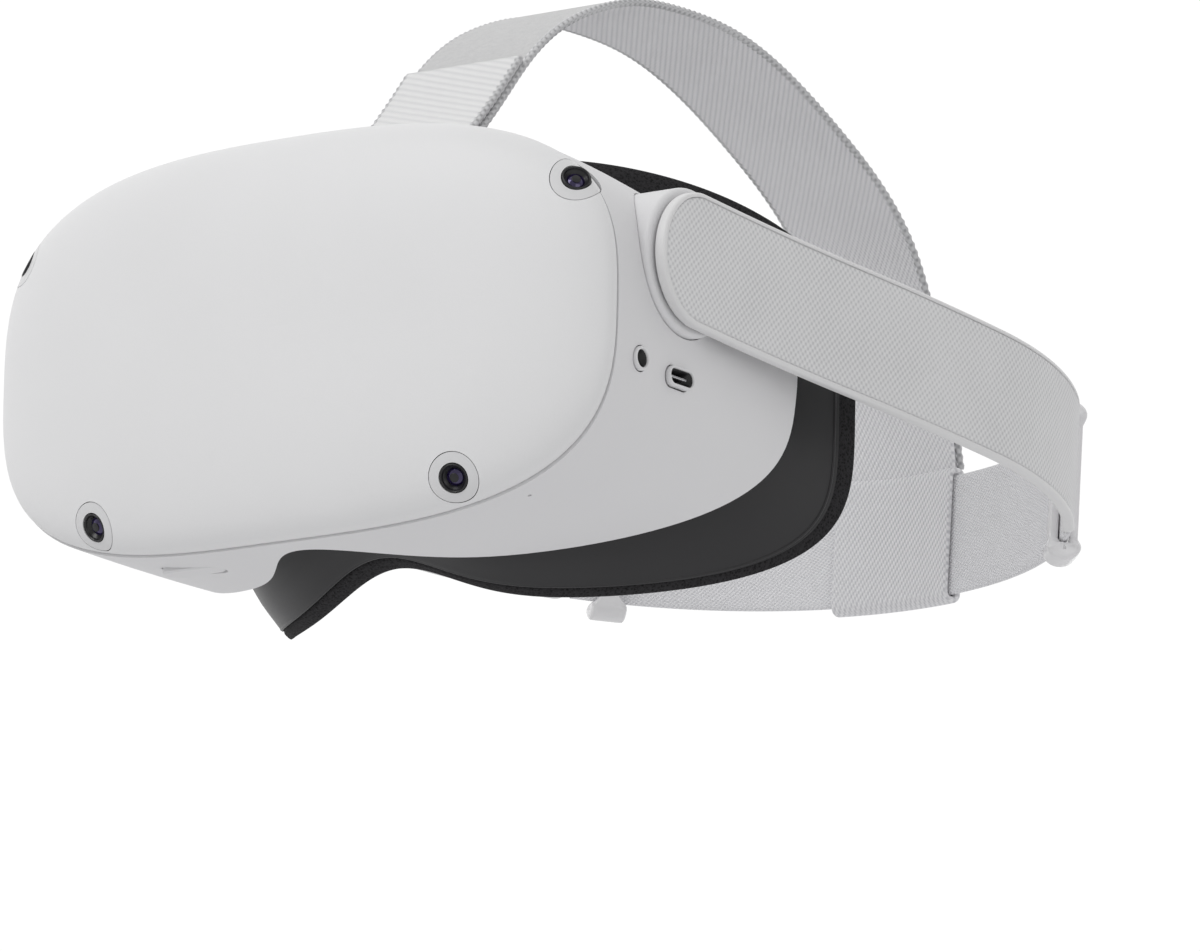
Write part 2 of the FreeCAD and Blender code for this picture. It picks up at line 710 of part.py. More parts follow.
# ---------------------------------------------------------------------------------------------
# Lenses: each barrel slides along one rail, inside an oval opening of the lens plate
# ---------------------------------------------------------------------------------------------
barrel_front = size("lens_back") - size("barrel_length")
barrel_radius = size("lens_radius") + size("barrel_wall")
lens_height = size("lens_height")
rail_radius = size("rail_radius")
rail_height = lens_height - barrel_radius - rail_radius - size("rail_above_barrel")
rail_depth = barrel_front + size("lug_length") / 2.0 + 1.0
lug_half = size("lug_width") / 2.0
lens_edge = size("lens_radius") - size("lens_fit")
crown = size("lens_thickness") / 2.0
dome_radius = (lens_edge ** 2 + crown ** 2) / (2.0 * crown)
ahead = Vector(0, 1, 0)
across = Vector(1, 0, 0)
for side, name in ((1, "left"), (-1, "right")):
    centre = side * size("lens_spacing") / 2.0
    front = Vector(centre, barrel_front, lens_height)
    barrel = Part.makeCylinder(barrel_radius, size("barrel_length"), front, ahead)
    lug = block((centre - lug_half, barrel_front + 1.0, rail_height - size("lug_drop")),
                (centre + lug_half, barrel_front + 1.0 + size("lug_length"),
                 lens_height - barrel_radius + size("lug_drop")))
    barrel = barrel.fuse(lug).removeSplitter()
    clear_radius = size("lens_radius") - size("lens_lip")
    barrel = barrel.cut(Part.makeCylinder(clear_radius, size("barrel_length"), front, ahead))
    seat = front + ahead * (size("barrel_length") - size("lens_thickness") + size("lens_lip"))
    barrel = barrel.cut(Part.makeCylinder(size("lens_radius"), size("lens_thickness"), seat, ahead))
    bore_start = Vector(centre - 2 * lug_half, rail_depth, rail_height)
    bore = Part.makeCylinder(rail_radius + size("rail_clearance"), 4 * lug_half, bore_start, across)
    feature(f"lens_barrel_{name}", barrel.cut(bore))
    # the lens: a plano-convex disc whose dome faces the eye
    lens_front = seat + ahead * size("lens_fit")
    lens = Part.makeCylinder(lens_edge, size("lens_thickness"), lens_front, ahead)
    globe_centre = lens_front + ahead * (size("lens_thickness") - dome_radius)
    feature(f"lens_{name}", lens.common(Part.makeSphere(dome_radius, globe_centre)))

rail_half = size("rail_length") / 2.0
rail_start = Vector(-rail_half, rail_depth, rail_height)
feature("lens_rail", Part.makeCylinder(rail_radius, 2 * rail_half, rail_start, across))
plate_depth = size("lens_back") - size("lens_plate_setback")
bracket_half = size("bracket_width") / 2.0
for side, name in ((1, "left"), (-1, "right")):
    bracket = block((rail_half - size("bracket_width"), rail_depth - bracket_half,
                     rail_height - bracket_half),
                    (rail_half + 1.0, plate_depth, rail_height + bracket_half))
    socket = Part.makeCylinder(rail_radius, 2 * rail_half, rail_start, across)
    feature(f"rail_bracket_{name}", on_side(bracket.cut(socket), side))

plate_gap = size("lens_plate_gap")
plate_thickness = size("lens_plate_thickness")
plate_inset = size("pad_wall") + plate_gap
plate_points = pad_ring(FUNNEL_SETBACKS[0], plate_inset, size("pad_lead"), plate_depth)
lens_plate = Part.Face(smooth_ring(plate_points)).extrude(ahead * plate_thickness)
opening = stadium_face(2 * (barrel_radius + size("lens_travel") + plate_gap),
                       2 * (barrel_radius + plate_gap))
opening.rotate(Vector(), Vector(1, 0, 0), -90)
for side in (1, -1):
    hole = opening.copy()
    hole.translate(Vector(side * size("lens_spacing") / 2.0, plate_depth - 1.0, lens_height))
    lens_plate = lens_plate.cut(hole.extrude(ahead * (plate_thickness + 2.0)))
feature("lens_plate", lens_plate)
disc("proximity_sensor", "sizes.sensor_radius", "sizes.sensor_length", "0",
     "sizes.lens_back - sizes.lens_plate_setback + sizes.lens_plate_thickness",
     "sizes.lens_height + sizes.sensor_above_lens", ALONG_Y)

# ---------------------------------------------------------------------------------------------
# Sockets, button, rocker and light
# ---------------------------------------------------------------------------------------------
disc("audio_jack_socket", "sizes.jack_collar_radius", "sizes.jack_length",
     "sizes.side_face - sizes.jack_length", "sizes.jack_depth", "sizes.jack_height", ALONG_X,
     bore="sizes.jack_bore_radius")
side_face = size("side_face")
port_floor = side_face - size("port_length")
port_depth = size("port_depth")
port_height = size("port_height")
port_shell = side_slot(mouth_length, mouth_width, port_depth, port_height, port_floor, side_face)
port_shell = port_shell.cut(side_slot(size("port_width"), size("port_thickness"), port_depth,
                                      port_height, port_floor + 1.0, side_face))
tongue_half = size("tongue_width") / 2.0
tongue_rise = size("tongue_thickness") / 2.0
tongue = block((port_floor + 0.5, port_depth - tongue_half, port_height - tongue_rise),
               (side_face - 1.2, port_depth + tongue_half, port_height + tongue_rise))
feature("usb_c_socket", port_shell.fuse(tongue).removeSplitter())

disc("power_button", "sizes.button_radius", "sizes.button_length",
     "-sizes.side_face - sizes.button_stand", "sizes.button_depth", "sizes.button_height", ALONG_X)
disc("status_light", "sizes.led_radius", "sizes.led_length", "-sizes.side_face", "sizes.led_depth",
     "sizes.button_height", ALONG_X)
rocker_face = stadium_face(size("rocker_length"), size("rocker_width"))
rocker_face.translate(Vector(-size("rocker_across"), size("rocker_depth"), size("rocker_height")))
rocker = rocker_face.extrude(Vector(0, 0, size("rocker_thickness")))
rocker_level = size("rocker_height") + 0.1
touched_edges = [edge for edge in rocker.Edges if edge.BoundBox.ZMax < rocker_level]
feature("volume_rocker", rocker.makeChamfer(size("rocker_chamfer"), touched_edges))

# ---------------------------------------------------------------------------------------------
# Pivots: a boss fixed in each side of the housing, and the shaft that the arm turns on
# ---------------------------------------------------------------------------------------------
boss_face = size("pivot_boss_face")
boss_back = boss_face - size("pivot_boss_length")
boss_radius = size("pivot_boss_radius")
shaft_radius = size("pivot_shaft_radius")
pivot_depth = size("pivot_depth")
pivot_height = size("pivot_height")
arm_inner = size("arm_outer") - size("arm_thickness")
shaft_start = boss_face - size("pivot_shaft_hold")
shaft_end = size("arm_outer") - size("panel_thickness") - 0.3
boss = side_cylinder(1, boss_radius, pivot_depth, pivot_height, boss_back, boss_face)
rim_edge = [edge for edge in boss.Edges if edge.BoundBox.XMin > boss_face - 0.1]
boss = boss.makeFillet(size("pivot_boss_rounding"), rim_edge)
boss = boss.cut(side_cylinder(1, boss_radius - wall, pivot_depth, pivot_height,
                              boss_back - 1.0, boss_face - wall))
boss = boss.cut(side_cylinder(1, shaft_radius, pivot_depth, pivot_height,
                              boss_back, boss_face + 1.0))
shaft = side_cylinder(1, shaft_radius, pivot_depth, pivot_height, shaft_start, shaft_end)
for side, name in ((1, "left"), (-1, "right")):
    feature(f"pivot_boss_{name}", on_side(boss, side))
    feature(f"pivot_shaft_{name}", on_side(shaft, side))

# ---------------------------------------------------------------------------------------------
# Strap: an oval in its own level frame, made of tangent arcs about three centres
# ---------------------------------------------------------------------------------------------
def on_arc(centre, radius, degrees):
    """A point on a level circle; the angle is measured from +X towards +Y."""
    turn = math.radians(degrees)
    return Vector(centre.x + radius * math.cos(turn), centre.y + radius * math.sin(turn), 0)


outer_x = size("arm_outer")
bow = size("arm_bow")
half_bow = (size("bow_end") - size("bow_start")) / 2.0
bow_radius = (half_bow ** 2 + (bow / 2) ** 2) / bow
bow_angle = math.degrees(math.asin(half_bow / bow_radius))
corner_angle = 90.0 - size("band_half_angle")
corner_cosine = math.cos(math.radians(corner_angle))
corner_radius = (outer_x + bow - corner_cosine * size("band_radius")) / (1.0 - corner_cosine)
swing_out = Vector(outer_x + bow_radius, size("bow_start"), 0)
swing_back = Vector(outer_x + bow - bow_radius, size("bow_end"), 0)
corner = Vector(outer_x + bow - corner_radius, size("bow_end"), 0)
band_centre = corner + (on_arc(Vector(), corner_radius - size("band_radius"), corner_angle))
ARM_FRONT = -30.0
arm_end = size("arm_end_angle")


def arm_curve(inset):
    """The arm's edges in plan on the left side, at an inset from its outer face."""
    straight = Part.makeLine(Vector(outer_x - inset, ARM_FRONT, 0),
                             Vector(outer_x - inset, size("bow_start"), 0))
    arcs = [(swing_out, bow_radius + inset, 180.0, 180.0 - bow_angle),
            (swing_back, bow_radius - inset, -bow_angle, 0.0),
            (corner, corner_radius - inset, 0.0, corner_angle),
            (band_centre, size("band_radius") - inset, corner_angle, arm_end)]
    edges = [straight]
    for centre, radius, start, end in arcs:
        points = [on_arc(centre, radius, angle) for angle in (start, (start + end) / 2, end)]
        edges.append(Part.Arc(*points).toShape())
    return edges


def ribbon_between(outer_edges, inner_edges, tall):
    """A level ribbon: the face between two curves, run up by a height about the middle plane."""
    outer_wire, inner_wire = Part.Wire(outer_edges), Part.Wire(inner_edges)
    first = Part.makeLine(outer_edges[0].firstVertex().Point, inner_edges[0].firstVertex().Point)
    last = Part.makeLine(outer_edges[-1].lastVertex().Point, inner_edges[-1].lastVertex().Point)
    edges = outer_wire.Edges + inner_wire.Edges + [first, last]
    ribbon = Part.Face(Part.Wire(Part.__sortEdges__(edges))).extrude(Vector(0, 0, tall))
    ribbon.translate(Vector(0, 0, -tall / 2.0))
    return ribbon


def arm_outline(border):
    """The arm seen from the side: a bar with a round front end about the pivot."""
    radius = size("arm_height") / 2.0 - border
    reach = 2.0 * size("arm_outer")
    round_end = Part.makeCylinder(radius, reach, Vector(), across)
    bar = block((0, 0, -radius), (reach, 2.0 * reach, radius))
    return round_end.fuse(bar).removeSplitter()


def arm_slab(outside, inside, border):
    """A layer of the arm between two insets from its outer face, cut to the arm's outline."""
    ribbon = ribbon_between(arm_curve(outside), arm_curve(inside), size("arm_height") + 2.0)
    return ribbon.common(arm_outline(border))


panel_depth = size("panel_thickness")
arm = arm_slab(0.0, size("arm_thickness"), 0.0).cut(arm_slab(-1.0, panel_depth, size("arm_border")))
bearing_radius = shaft_radius + size("pivot_clearance")
arm = arm.cut(Part.makeCylinder(bearing_radius, size("arm_thickness") - panel_depth,
                                Vector(arm_inner, 0, 0), across))
speaker_rise = size("speaker_height") / 2.0
speaker_end = size("speaker_start") + size("speaker_length")
speaker_pocket = block((arm_inner - 10.0, size("speaker_start"), -speaker_rise),
                       (arm_inner + size("speaker_depth"), speaker_end, speaker_rise))
speaker = speaker_pocket.common(arm)
arm = arm.cut(speaker_pocket)
arm_panel = arm_slab(0.0, panel_depth, size("arm_border") + size("panel_gap"))
for side, name in ((1, "left"), (-1, "right")):
    feature(f"strap_arm_{name}", on_side(arm, side), STRAP_FRAME)
    feature(f"arm_fabric_{name}", on_side(arm_panel, side), STRAP_FRAME)
    feature(f"arm_speaker_{name}", on_side(speaker, side), STRAP_FRAME)


def band_sector(near, far, tall, start, end):
    """A piece of the band's ring between two radii and two angles from +X."""
    angles = (start, (start + end) / 2, end)
    outer_arc = Part.Arc(*[on_arc(band_centre, far, angle) for angle in angles]).toShape()
    inner_arc = Part.Arc(*[on_arc(band_centre, near, angle) for angle in angles]).toShape()
    return ribbon_between([outer_arc], [inner_arc], tall)


band_far = size("band_radius") - size("band_inset")
band_near = band_far - size("band_thickness")
band_height = size("arm_height") - 1.0
rear_band = band_sector(band_near, band_far, band_height, arm_end, 180.0 - arm_end)
feature("rear_band", rear_band, STRAP_FRAME)

gap = size("slider_clearance")
slider_half = math.degrees(size("slider_width") / 2.0 / size("band_radius"))
slider_near = band_near - gap - size("slider_wall")
slider_far = band_far + gap + size("slider_wall")
window_height = band_height + 2 * gap
slider_height = window_height + 2 * size("slider_overhang")
for side, name in ((1, "left"), (-1, "right")):
    middle = 90.0 - side * size("slider_angle")
    outside = band_sector(slider_near, slider_far, slider_height,
                          middle - slider_half, middle + slider_half)
    window = band_sector(band_near - gap, band_far + gap, window_height,
                         middle - 2 * slider_half, middle + 2 * slider_half)
    feature(f"band_slider_{name}", outside.cut(window), STRAP_FRAME)

loop_half = math.degrees(size("loop_width") / 2.0 / size("band_radius"))
strap_thick = size("top_strap_thickness")
loop_outside = band_sector(band_near - gap - strap_thick, band_far + gap + strap_thick,
                           band_height + 2 * (gap + strap_thick), 90 - loop_half, 90 + loop_half)
loop_window = band_sector(band_near - gap, band_far + gap, band_height + 2 * gap,
                          90 - 2 * loop_half, 90 + 2 * loop_half)
feature("strap_loop", loop_outside.cut(loop_window), STRAP_FRAME)


# ---------------------------------------------------------------------------------------------
# Top strap: a ribbon of webbing whose side view is a smooth curve through a few points
# ---------------------------------------------------------------------------------------------
def webbing(path, thickness, width):
    """A ribbon: the curve and its copy offset to the outside, closed and run across."""
    curve = Part.BSplineCurve()
    curve.interpolate([Vector(0, depth, height) for depth, height in path])
    first, last = curve.FirstParameter, curve.LastParameter
    steps = 4 * len(path)
    offset_points = []
    for step in range(steps + 1):
        parameter = first + (last - first) * step / steps
        tangent = Vector(*curve.tangent(parameter)[0])
        outward = Vector(0, -tangent.z, tangent.y)
        offset_points.append(curve.value(parameter) + outward * thickness)
    outer_curve = Part.BSplineCurve()
    outer_curve.interpolate(offset_points)
    near_end = Part.makeLine(curve.value(first), offset_points[0])
    far_end = Part.makeLine(curve.value(last), offset_points[-1])
    edges = [curve.toShape(), outer_curve.toShape(), near_end, far_end]
    ribbon = Part.Face(Part.Wire(Part.__sortEdges__(edges))).extrude(Vector(width, 0, 0))
    ribbon.translate(Vector(-width / 2.0, 0, 0))
    return ribbon


slot_middle = size("slot_depth") + size("slot_opening") + size("anchor_bar")
loop_top = FRAME.inverse().multiply(STRAP_FRAME).multVec(
    Vector(0, band_centre.y + size("band_radius") - 1.0, band_height / 2.0 + gap + strap_thick))
STRAP_PATH = [(slot_middle + 1.0, housing_top - 2.2), (60.5, 56.6), (67.5, 63.6), (77.0, 74.2),
              (88.0, 87.0), (101.0, 98.0), (116.0, 106.0), (134.0, 112.0), (155.0, 114.3),
              (178.0, 113.6), (201.0, 108.0), (224.0, 98.5), (243.0, 88.5), (258.0, 76.0), (268.0, 60.0),
              (loop_top.y - 5.0, 38.0), (loop_top.y, loop_top.z + 0.2)]
feature("top_strap", webbing(STRAP_PATH, strap_thick, size("top_strap_width")))
FLAP_PATH = [(slot_middle - 0.9, housing_top + 0.2), (58.9, 58.4), (66.0, 65.3), (75.4, 75.6),
             (84.2, 86.2)]
feature("strap_flap", webbing(FLAP_PATH, strap_thick, size("top_strap_width")))


# ---------------------------------------------------------------------------------------------
# Check every object, then write the sub-parts
# ---------------------------------------------------------------------------------------------
doc.recompute()
for item in doc.Objects:
    if {"Invalid", "Error"} & set(item.State):
        raise RuntimeError(f"{item.Label} failed: {item.State}")
for thing in nodes:
    if thing.Shape.isNull() or not thing.Shape.isValid() or thing.Shape.Volume <= 0:
        raise RuntimeError(f"{thing.Label} has no valid solid")

os.makedirs("parts", exist_ok=True)
for thing in nodes:
    thing.Shape.exportStep(f"parts/{thing.Label}.step")
print(len(nodes), "sub-parts written")
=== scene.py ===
# %% [markdown]
# # A standalone headset
# The rigid parts of this headset come from CAD and load as a fixed frame: the domed visor, the
# housing, the cameras' seats, the optics and the sockets. This lesson gives them their finishes,
# and makes what a CAD solid can't show: the woven arms, the webbing, the foam, the lenses.
# Everything is in metres, in the frame's own axes: X across the face, Y to the back, Z up.

# %% Load the frame
import math
import bpy
import bmesh
import numpy as np
from mathutils import Matrix, Vector


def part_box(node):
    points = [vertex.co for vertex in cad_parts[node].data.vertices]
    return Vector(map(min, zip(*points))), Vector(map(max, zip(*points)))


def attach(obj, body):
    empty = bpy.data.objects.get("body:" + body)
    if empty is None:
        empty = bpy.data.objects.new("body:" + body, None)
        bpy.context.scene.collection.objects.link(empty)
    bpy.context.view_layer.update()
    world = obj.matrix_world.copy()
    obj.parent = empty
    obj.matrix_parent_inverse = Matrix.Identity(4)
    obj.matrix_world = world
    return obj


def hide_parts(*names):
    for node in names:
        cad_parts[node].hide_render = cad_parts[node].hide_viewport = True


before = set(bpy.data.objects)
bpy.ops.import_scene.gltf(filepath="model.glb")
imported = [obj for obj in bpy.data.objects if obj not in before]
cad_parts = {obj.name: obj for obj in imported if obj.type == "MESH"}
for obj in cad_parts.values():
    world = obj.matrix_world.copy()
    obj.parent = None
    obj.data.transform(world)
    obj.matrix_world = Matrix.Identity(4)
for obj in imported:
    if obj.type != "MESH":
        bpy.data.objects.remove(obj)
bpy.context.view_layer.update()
print("nodes in the frame:", len(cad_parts))

# %% [markdown]
# ## Two drawing frames
# A maker draws a headset from the front of its visor, in millimetres, with Z = 0 half way up. The
# head strap is drawn level in a frame of its own about the pivots, and then tipped down at the back.
# Both are turned into the scene's metres in one place, so that every formula below can stay in
# millimetres. The visor's own box says where the drawing frame sits.

# %% Drawing frames
MM = 0.001
VISOR_HALF_WIDTH, VISOR_HALF_HEIGHT, VISOR_MIDDLE = 92.2, 50.0, 2.5
visor_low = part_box("front_visor")[0]
ORIGIN = np.array([0.0, visor_low.y, visor_low.z + (VISOR_HALF_HEIGHT - VISOR_MIDDLE) * MM])
PIVOT_DEPTH, PIVOT_HEIGHT, STRAP_TILT = 50.5, 17.7, math.radians(3.8)


def placed(points):
    """Drawing millimetres to scene metres: scale, then move."""
    return np.asarray(points, float) * MM + ORIGIN


def strapped(points):
    """Strap millimetres to scene metres: turn about X by the tilt, then move to the pivots."""
    x, y, z = np.moveaxis(np.asarray(points, float), -1, 0)
    cosine, sine = math.cos(STRAP_TILT), math.sin(STRAP_TILT)
    turned = np.stack([x, y * cosine + z * sine, z * cosine - y * sine], axis=-1)
    return placed(turned + np.array([0.0, PIVOT_DEPTH, PIVOT_HEIGHT]))


print("drawing frame starts at", ORIGIN.round(4))

# %% [markdown]
# ## Camera, floor and light
# The headset floats a little above eye level and is seen from below, in front and to its left, with
# a long lens. So the floor lies far down, out of the picture, and only gives its soft bounce. The
# light is a studio's: a pale surround that is brightest behind the headset, and large soft boxes.

# %% Camera
AZIMUTH, ELEVATION, ROLL = math.radians(35.57), math.radians(-12.65), math.radians(1.09)
DISTANCE, AIM_ACROSS, AIM_UP, LENS = 2500.0, 83.73, -32.89, 311.25
right = np.array([math.cos(AZIMUTH), math.sin(AZIMUTH), 0.0])
back = np.array([math.sin(AZIMUTH) * math.cos(ELEVATION), -math.cos(AZIMUTH) * math.cos(ELEVATION),
                 math.sin(ELEVATION)])
up = np.cross(back, right)
right, up = (math.cos(ROLL) * right + math.sin(ROLL) * up,
             math.cos(ROLL) * up - math.sin(ROLL) * right)
aim = right * AIM_ACROSS + up * AIM_UP
camera = bpy.data.objects.new("camera", bpy.data.cameras.new("camera"))
bpy.context.scene.collection.objects.link(camera)
turn = Matrix(np.stack([right, up, back], axis=1).tolist()).to_4x4()
camera.matrix_world = Matrix.Translation(Vector(placed(aim + back * DISTANCE))) @ turn
camera.data.lens, camera.data.sensor_width = LENS, 36.0
camera.data.clip_start, camera.data.clip_end = 0.1, 60.0
bpy.context.scene.camera = camera

# %% [markdown]
# ## A small language for shaders
# A finish is a tree of nodes, and a tree drawn by hand is hard to read in a script. Here one small
# class wraps a socket, so that ordinary sums add the Math nodes, and another holds the material and
# has one method that adds any other node. A pattern then reads like its formula.

# %% Shader language
class Flow:
    """A value, vector or colour on its way between two nodes."""

    def __init__(self, finish, socket):
        self.finish, self.socket = finish, socket

    def math(self, operation, *values):
        return self.finish.node("ShaderNodeMath", {"operation": operation}, [self, *values])

    def reflected(self, operation, value):
        return self.finish.node("ShaderNodeMath", {"operation": operation}, [value, self])

    def __add__(self, value):
        return self.math("ADD", value)

    def __sub__(self, value):
        return self.math("SUBTRACT", value)

    def __rsub__(self, value):
        return self.reflected("SUBTRACT", value)

    def __mul__(self, value):
        return self.math("MULTIPLY", value)

    def __pow__(self, value):
        return self.math("POWER", value)

    __radd__, __rmul__ = __add__, __mul__

    def sine(self):
        return self.math("SINE")

    def above(self, start, end):
        """0 below start, 1 above end, and a smooth step between them."""
        return self.finish.node("ShaderNodeMapRange", {"interpolation_type": "SMOOTHSTEP"},
                                {0: self, 1: start, 2: end, 3: 0.0, 4: 1.0})


class Finish:
    """A material around one Principled shader. Steady values go straight on its sockets."""

    def __init__(self, name, color, roughness, **steady):
        self.material = bpy.data.materials.new(name)
        self.material.use_nodes = True
        self.tree = self.material.node_tree
        self.shader = self.tree.nodes["Principled BSDF"]
        self.color, self.roughness = color, roughness
        self.shader.inputs["Base Color"].default_value = (*color, 1.0)
        self.shader.inputs["Roughness"].default_value = roughness
        for socket, value in steady.items():
            self.shader.inputs[socket.replace("_", " ")].default_value = value

    def node(self, kind, settings=None, values=(), output=0):
        """Any node: its settings first, then the values or links of its sockets."""
        made = self.tree.nodes.new(kind)
        for setting, value in (settings or {}).items():
            setattr(made, setting, value)
        pairs = values.items() if isinstance(values, dict) else enumerate(values)
        for socket, value in pairs:
            if isinstance(value, Flow):
                self.tree.links.new(value.socket, made.inputs[socket])
            else:
                made.inputs[socket].default_value = value
        return Flow(self, made.outputs[output])

    def place(self):
        """Where a point of the surface is, in metres."""
        return self.node("ShaderNodeTexCoord", output="Object")

    def cloth(self, uv_map="cloth"):
        """The two cloth coordinates in millimetres: along the piece, and across it."""
        where = self.node("ShaderNodeUVMap", {"uv_map": uv_map})
        return tuple(self.node("ShaderNodeSeparateXYZ", None, [where], axis) for axis in ("X", "Y"))

    def noise(self, size, detail=2.0):
        """Soft noise from 0 to 1 whose lumps are about that many millimetres wide."""
        values = {"Vector": self.place(), "Scale": 1.0 / (size * MM), "Detail": detail}
        return self.node("ShaderNodeTexNoise", None, values, "Fac")

    def cells(self, size):
        """Distance to the nearest of scattered points that are that many millimetres apart."""
        values = {"Vector": self.place(), "Scale": 1.0 / (size * MM)}
        return self.node("ShaderNodeTexVoronoi", {"feature": "F1"}, values, "Distance")

    def between(self, factor, dark, light):
        """A colour between two others."""
        return self.node("ShaderNodeMix", {"data_type": "RGBA"},
                         {0: factor, 6: (*dark, 1.0), 7: (*light, 1.0)}, 2)

    # Among the colours linked here are painted shade and painted highlight: the foam's pits and rims, and
    # the darker copy of the white plastic.
    def link_surface(self, color=None, roughness=None, height=None, depth=0.05, strength=1.0):
        """Link what varies: colour, roughness, and a height in millimetres as bump."""
        for socket, flow in (("Base Color", color), ("Roughness", roughness)):
            if flow is not None:
                self.tree.links.new(flow.socket, self.shader.inputs[socket])
        if height is not None:
            normal = self.node("ShaderNodeBump", None,
                               {"Height": height, "Distance": depth * MM, "Strength": strength})
            self.tree.links.new(normal.socket, self.shader.inputs["Normal"])
        return self


def shade(color, factor):
    """A colour made darker or lighter."""
    return tuple(min(channel * factor, 1.0) for channel in color)


# %% [markdown]
# ## Moulded plastic
# The visor and housing are one soft white plastic. Real mouldings aren't flat: the mould's fine
# sparked grain breaks up the gloss, and the colour clouds very slightly. One function makes every
# plastic here, because they differ only in colour, gloss and the size of the grain. A darker copy of
# the white plastic, for the housing and the parts on its sides, is painted shade.

# %% Plastics
def moulded(name, color, roughness, grain=0.35, depth=0.012, cloud=0.02, **steady):
    """Plastic: cloudy colour, gloss that varies with the grain, and the grain itself as bump."""
    finish = Finish(name, color, roughness, **steady)
    fine, broad = finish.noise(grain, 3.0), finish.noise(38.0, 1.0)
    tone = (fine * 0.35 + broad * 0.65).above(0.25, 0.75)
    gloss = (fine - 0.5) * 0.16 + (broad - 0.5) * 0.10 + roughness
    return finish.link_surface(finish.between(tone, shade(color, 1 - cloud), shade(color, 1 + cloud)),
                       gloss, fine, depth, 0.9)


white_shell = moulded("white_shell", (0.80, 0.80, 0.805), 0.46, 0.42, 0.014, 0.012,
                      Specular_IOR_Level=0.42)
# The same white plastic again, made darker as painted shade for the housing, its buttons, the pivot
# bosses and the socket rims.
shaded_white_shell = moulded("shaded_white_shell", (0.745, 0.742, 0.752), 0.50, 0.42, 0.016, 0.012,
                     Specular_IOR_Level=0.4)
bezel_white = moulded("bezel_white", (0.72, 0.72, 0.725), 0.34, 0.3, 0.006, 0.01)
rim_white = moulded("rim_white", (0.76, 0.758, 0.76), 0.44, 0.5, 0.012, 0.015)
gloss_white = moulded("gloss_white", (0.79, 0.785, 0.795), 0.18, 0.8, 0.004, 0.012,
                      Coat_Weight=0.35, Coat_Roughness=0.08)
satin_black = moulded("satin_black", (0.016, 0.0155, 0.017), 0.42, 0.28, 0.02, 0.12)
deep_black = moulded("deep_black", (0.012, 0.012, 0.013), 0.30, 0.4, 0.008, 0.1)
print("plastics:", [m.name for m in bpy.data.materials if m.node_tree])

# %% [markdown]
# ## Woven and felted cloth
# The arms carry a fine basket weave, the straps a coarser diagonal twill, and the outside of the
# crown strap is brushed into a felt that hook tape can hold. Threads follow the cloth and not the
# room, so each pattern reads the piece's own cloth coordinates, in millimetres: a product of two
# sine waves is a basket weave, and sloping ribs cut by short stitches are a twill.

# %% Cloths
FULL_TURN = 2.0 * math.pi


def basket(name, dark, light, pitch):
    """Over-and-under weave: sin(along) times sin(across) is high on threads and low in gaps."""
    finish = Finish(name, light, 0.82, Sheen_Weight=0.18, Sheen_Roughness=0.5)
    along, across = finish.cloth()
    weave = (along * (math.pi / pitch)).sine() * (across * (math.pi / pitch)).sine()
    fuzz = finish.noise(0.22, 3.0)
    broad = finish.noise(22.0, 1.0)
    height = weave * 0.5 + 0.5 + fuzz * 0.35
    tone = (height * 0.75 + broad * 0.25).above(0.12, 0.88)
    return finish.link_surface(finish.between(tone, dark, light), fuzz * 0.12 + 0.76, height, 0.16, 0.9)


def twill(name, dark, light, rib, stitch, slope):
    """Ribs that cross the tape on a slope, each made of short stitches that lean the other way."""
    finish = Finish(name, light, 0.8, Sheen_Weight=0.2, Sheen_Roughness=0.45)
    along, across = finish.cloth()
    ribs = (along * (FULL_TURN / rib) + across * (FULL_TURN * slope / rib)).sine() * 0.5 + 0.5
    lean = across * (FULL_TURN / stitch) - along * (FULL_TURN * 0.45 / stitch)
    stitches = lean.sine() * 0.5 + 0.5
    fuzz = finish.noise(0.2, 3.0)
    height = ribs * 0.35 + stitches * 0.25 + ribs * stitches * 0.4 + fuzz * 0.2
    tone = (height * 0.85 + finish.noise(26.0, 1.0) * 0.15).above(0.05, 0.70)
    return finish.link_surface(finish.between(tone, dark, light), fuzz * 0.12 + 0.74, height, 0.28, 0.9)


def felt(name, dark, light):
    """Brushed loops: two sizes of noise speckle the colour and raise a soft nap."""
    finish = Finish(name, light, 0.95, Sheen_Weight=0.35, Sheen_Roughness=0.6)
    loops, clumps = finish.noise(0.28, 4.0), finish.noise(1.6, 2.0)
    tone = (loops * 0.7 + clumps * 0.3).above(0.30, 0.66)
    return finish.link_surface(finish.between(tone, dark, light), loops * 0.1 + 0.86, loops, 0.20, 0.9)


arm_weave = basket("arm_weave", (0.56, 0.56, 0.57), (0.79, 0.79, 0.795), 0.95)
strap_twill = twill("strap_twill", (0.62, 0.62, 0.645), (0.93, 0.925, 0.94), 2.2, 0.9, 1.36)
flap_twill = twill("flap_twill", (0.68, 0.68, 0.69), (0.88, 0.88, 0.88), 2.28, 1.0, 0.395)
band_twill = twill("band_twill", (0.70, 0.70, 0.73), (0.95, 0.945, 0.96), 1.25, 0.8, 1.0)
strap_felt = felt("strap_felt", (0.54, 0.54, 0.545), (0.66, 0.66, 0.66))

# %% [markdown]
# ## Foam
# The pad against the face is open-cell foam: black, quite without gloss, and pitted all over. Cells
# come from a Voronoi pattern, whose distance to the nearest point is a round pit; two sizes of
# pit and a little noise keep it from looking printed. Its colour is darker in the pits as painted
# shade, and lighter on the rims between them as painted highlight.

# %% Foam finish
foam_black = Finish("foam_black", (0.016, 0.016, 0.017), 0.95, Specular_IOR_Level=0.2)
pits = foam_black.cells(0.75) * 0.6 + foam_black.cells(0.36) * 0.4
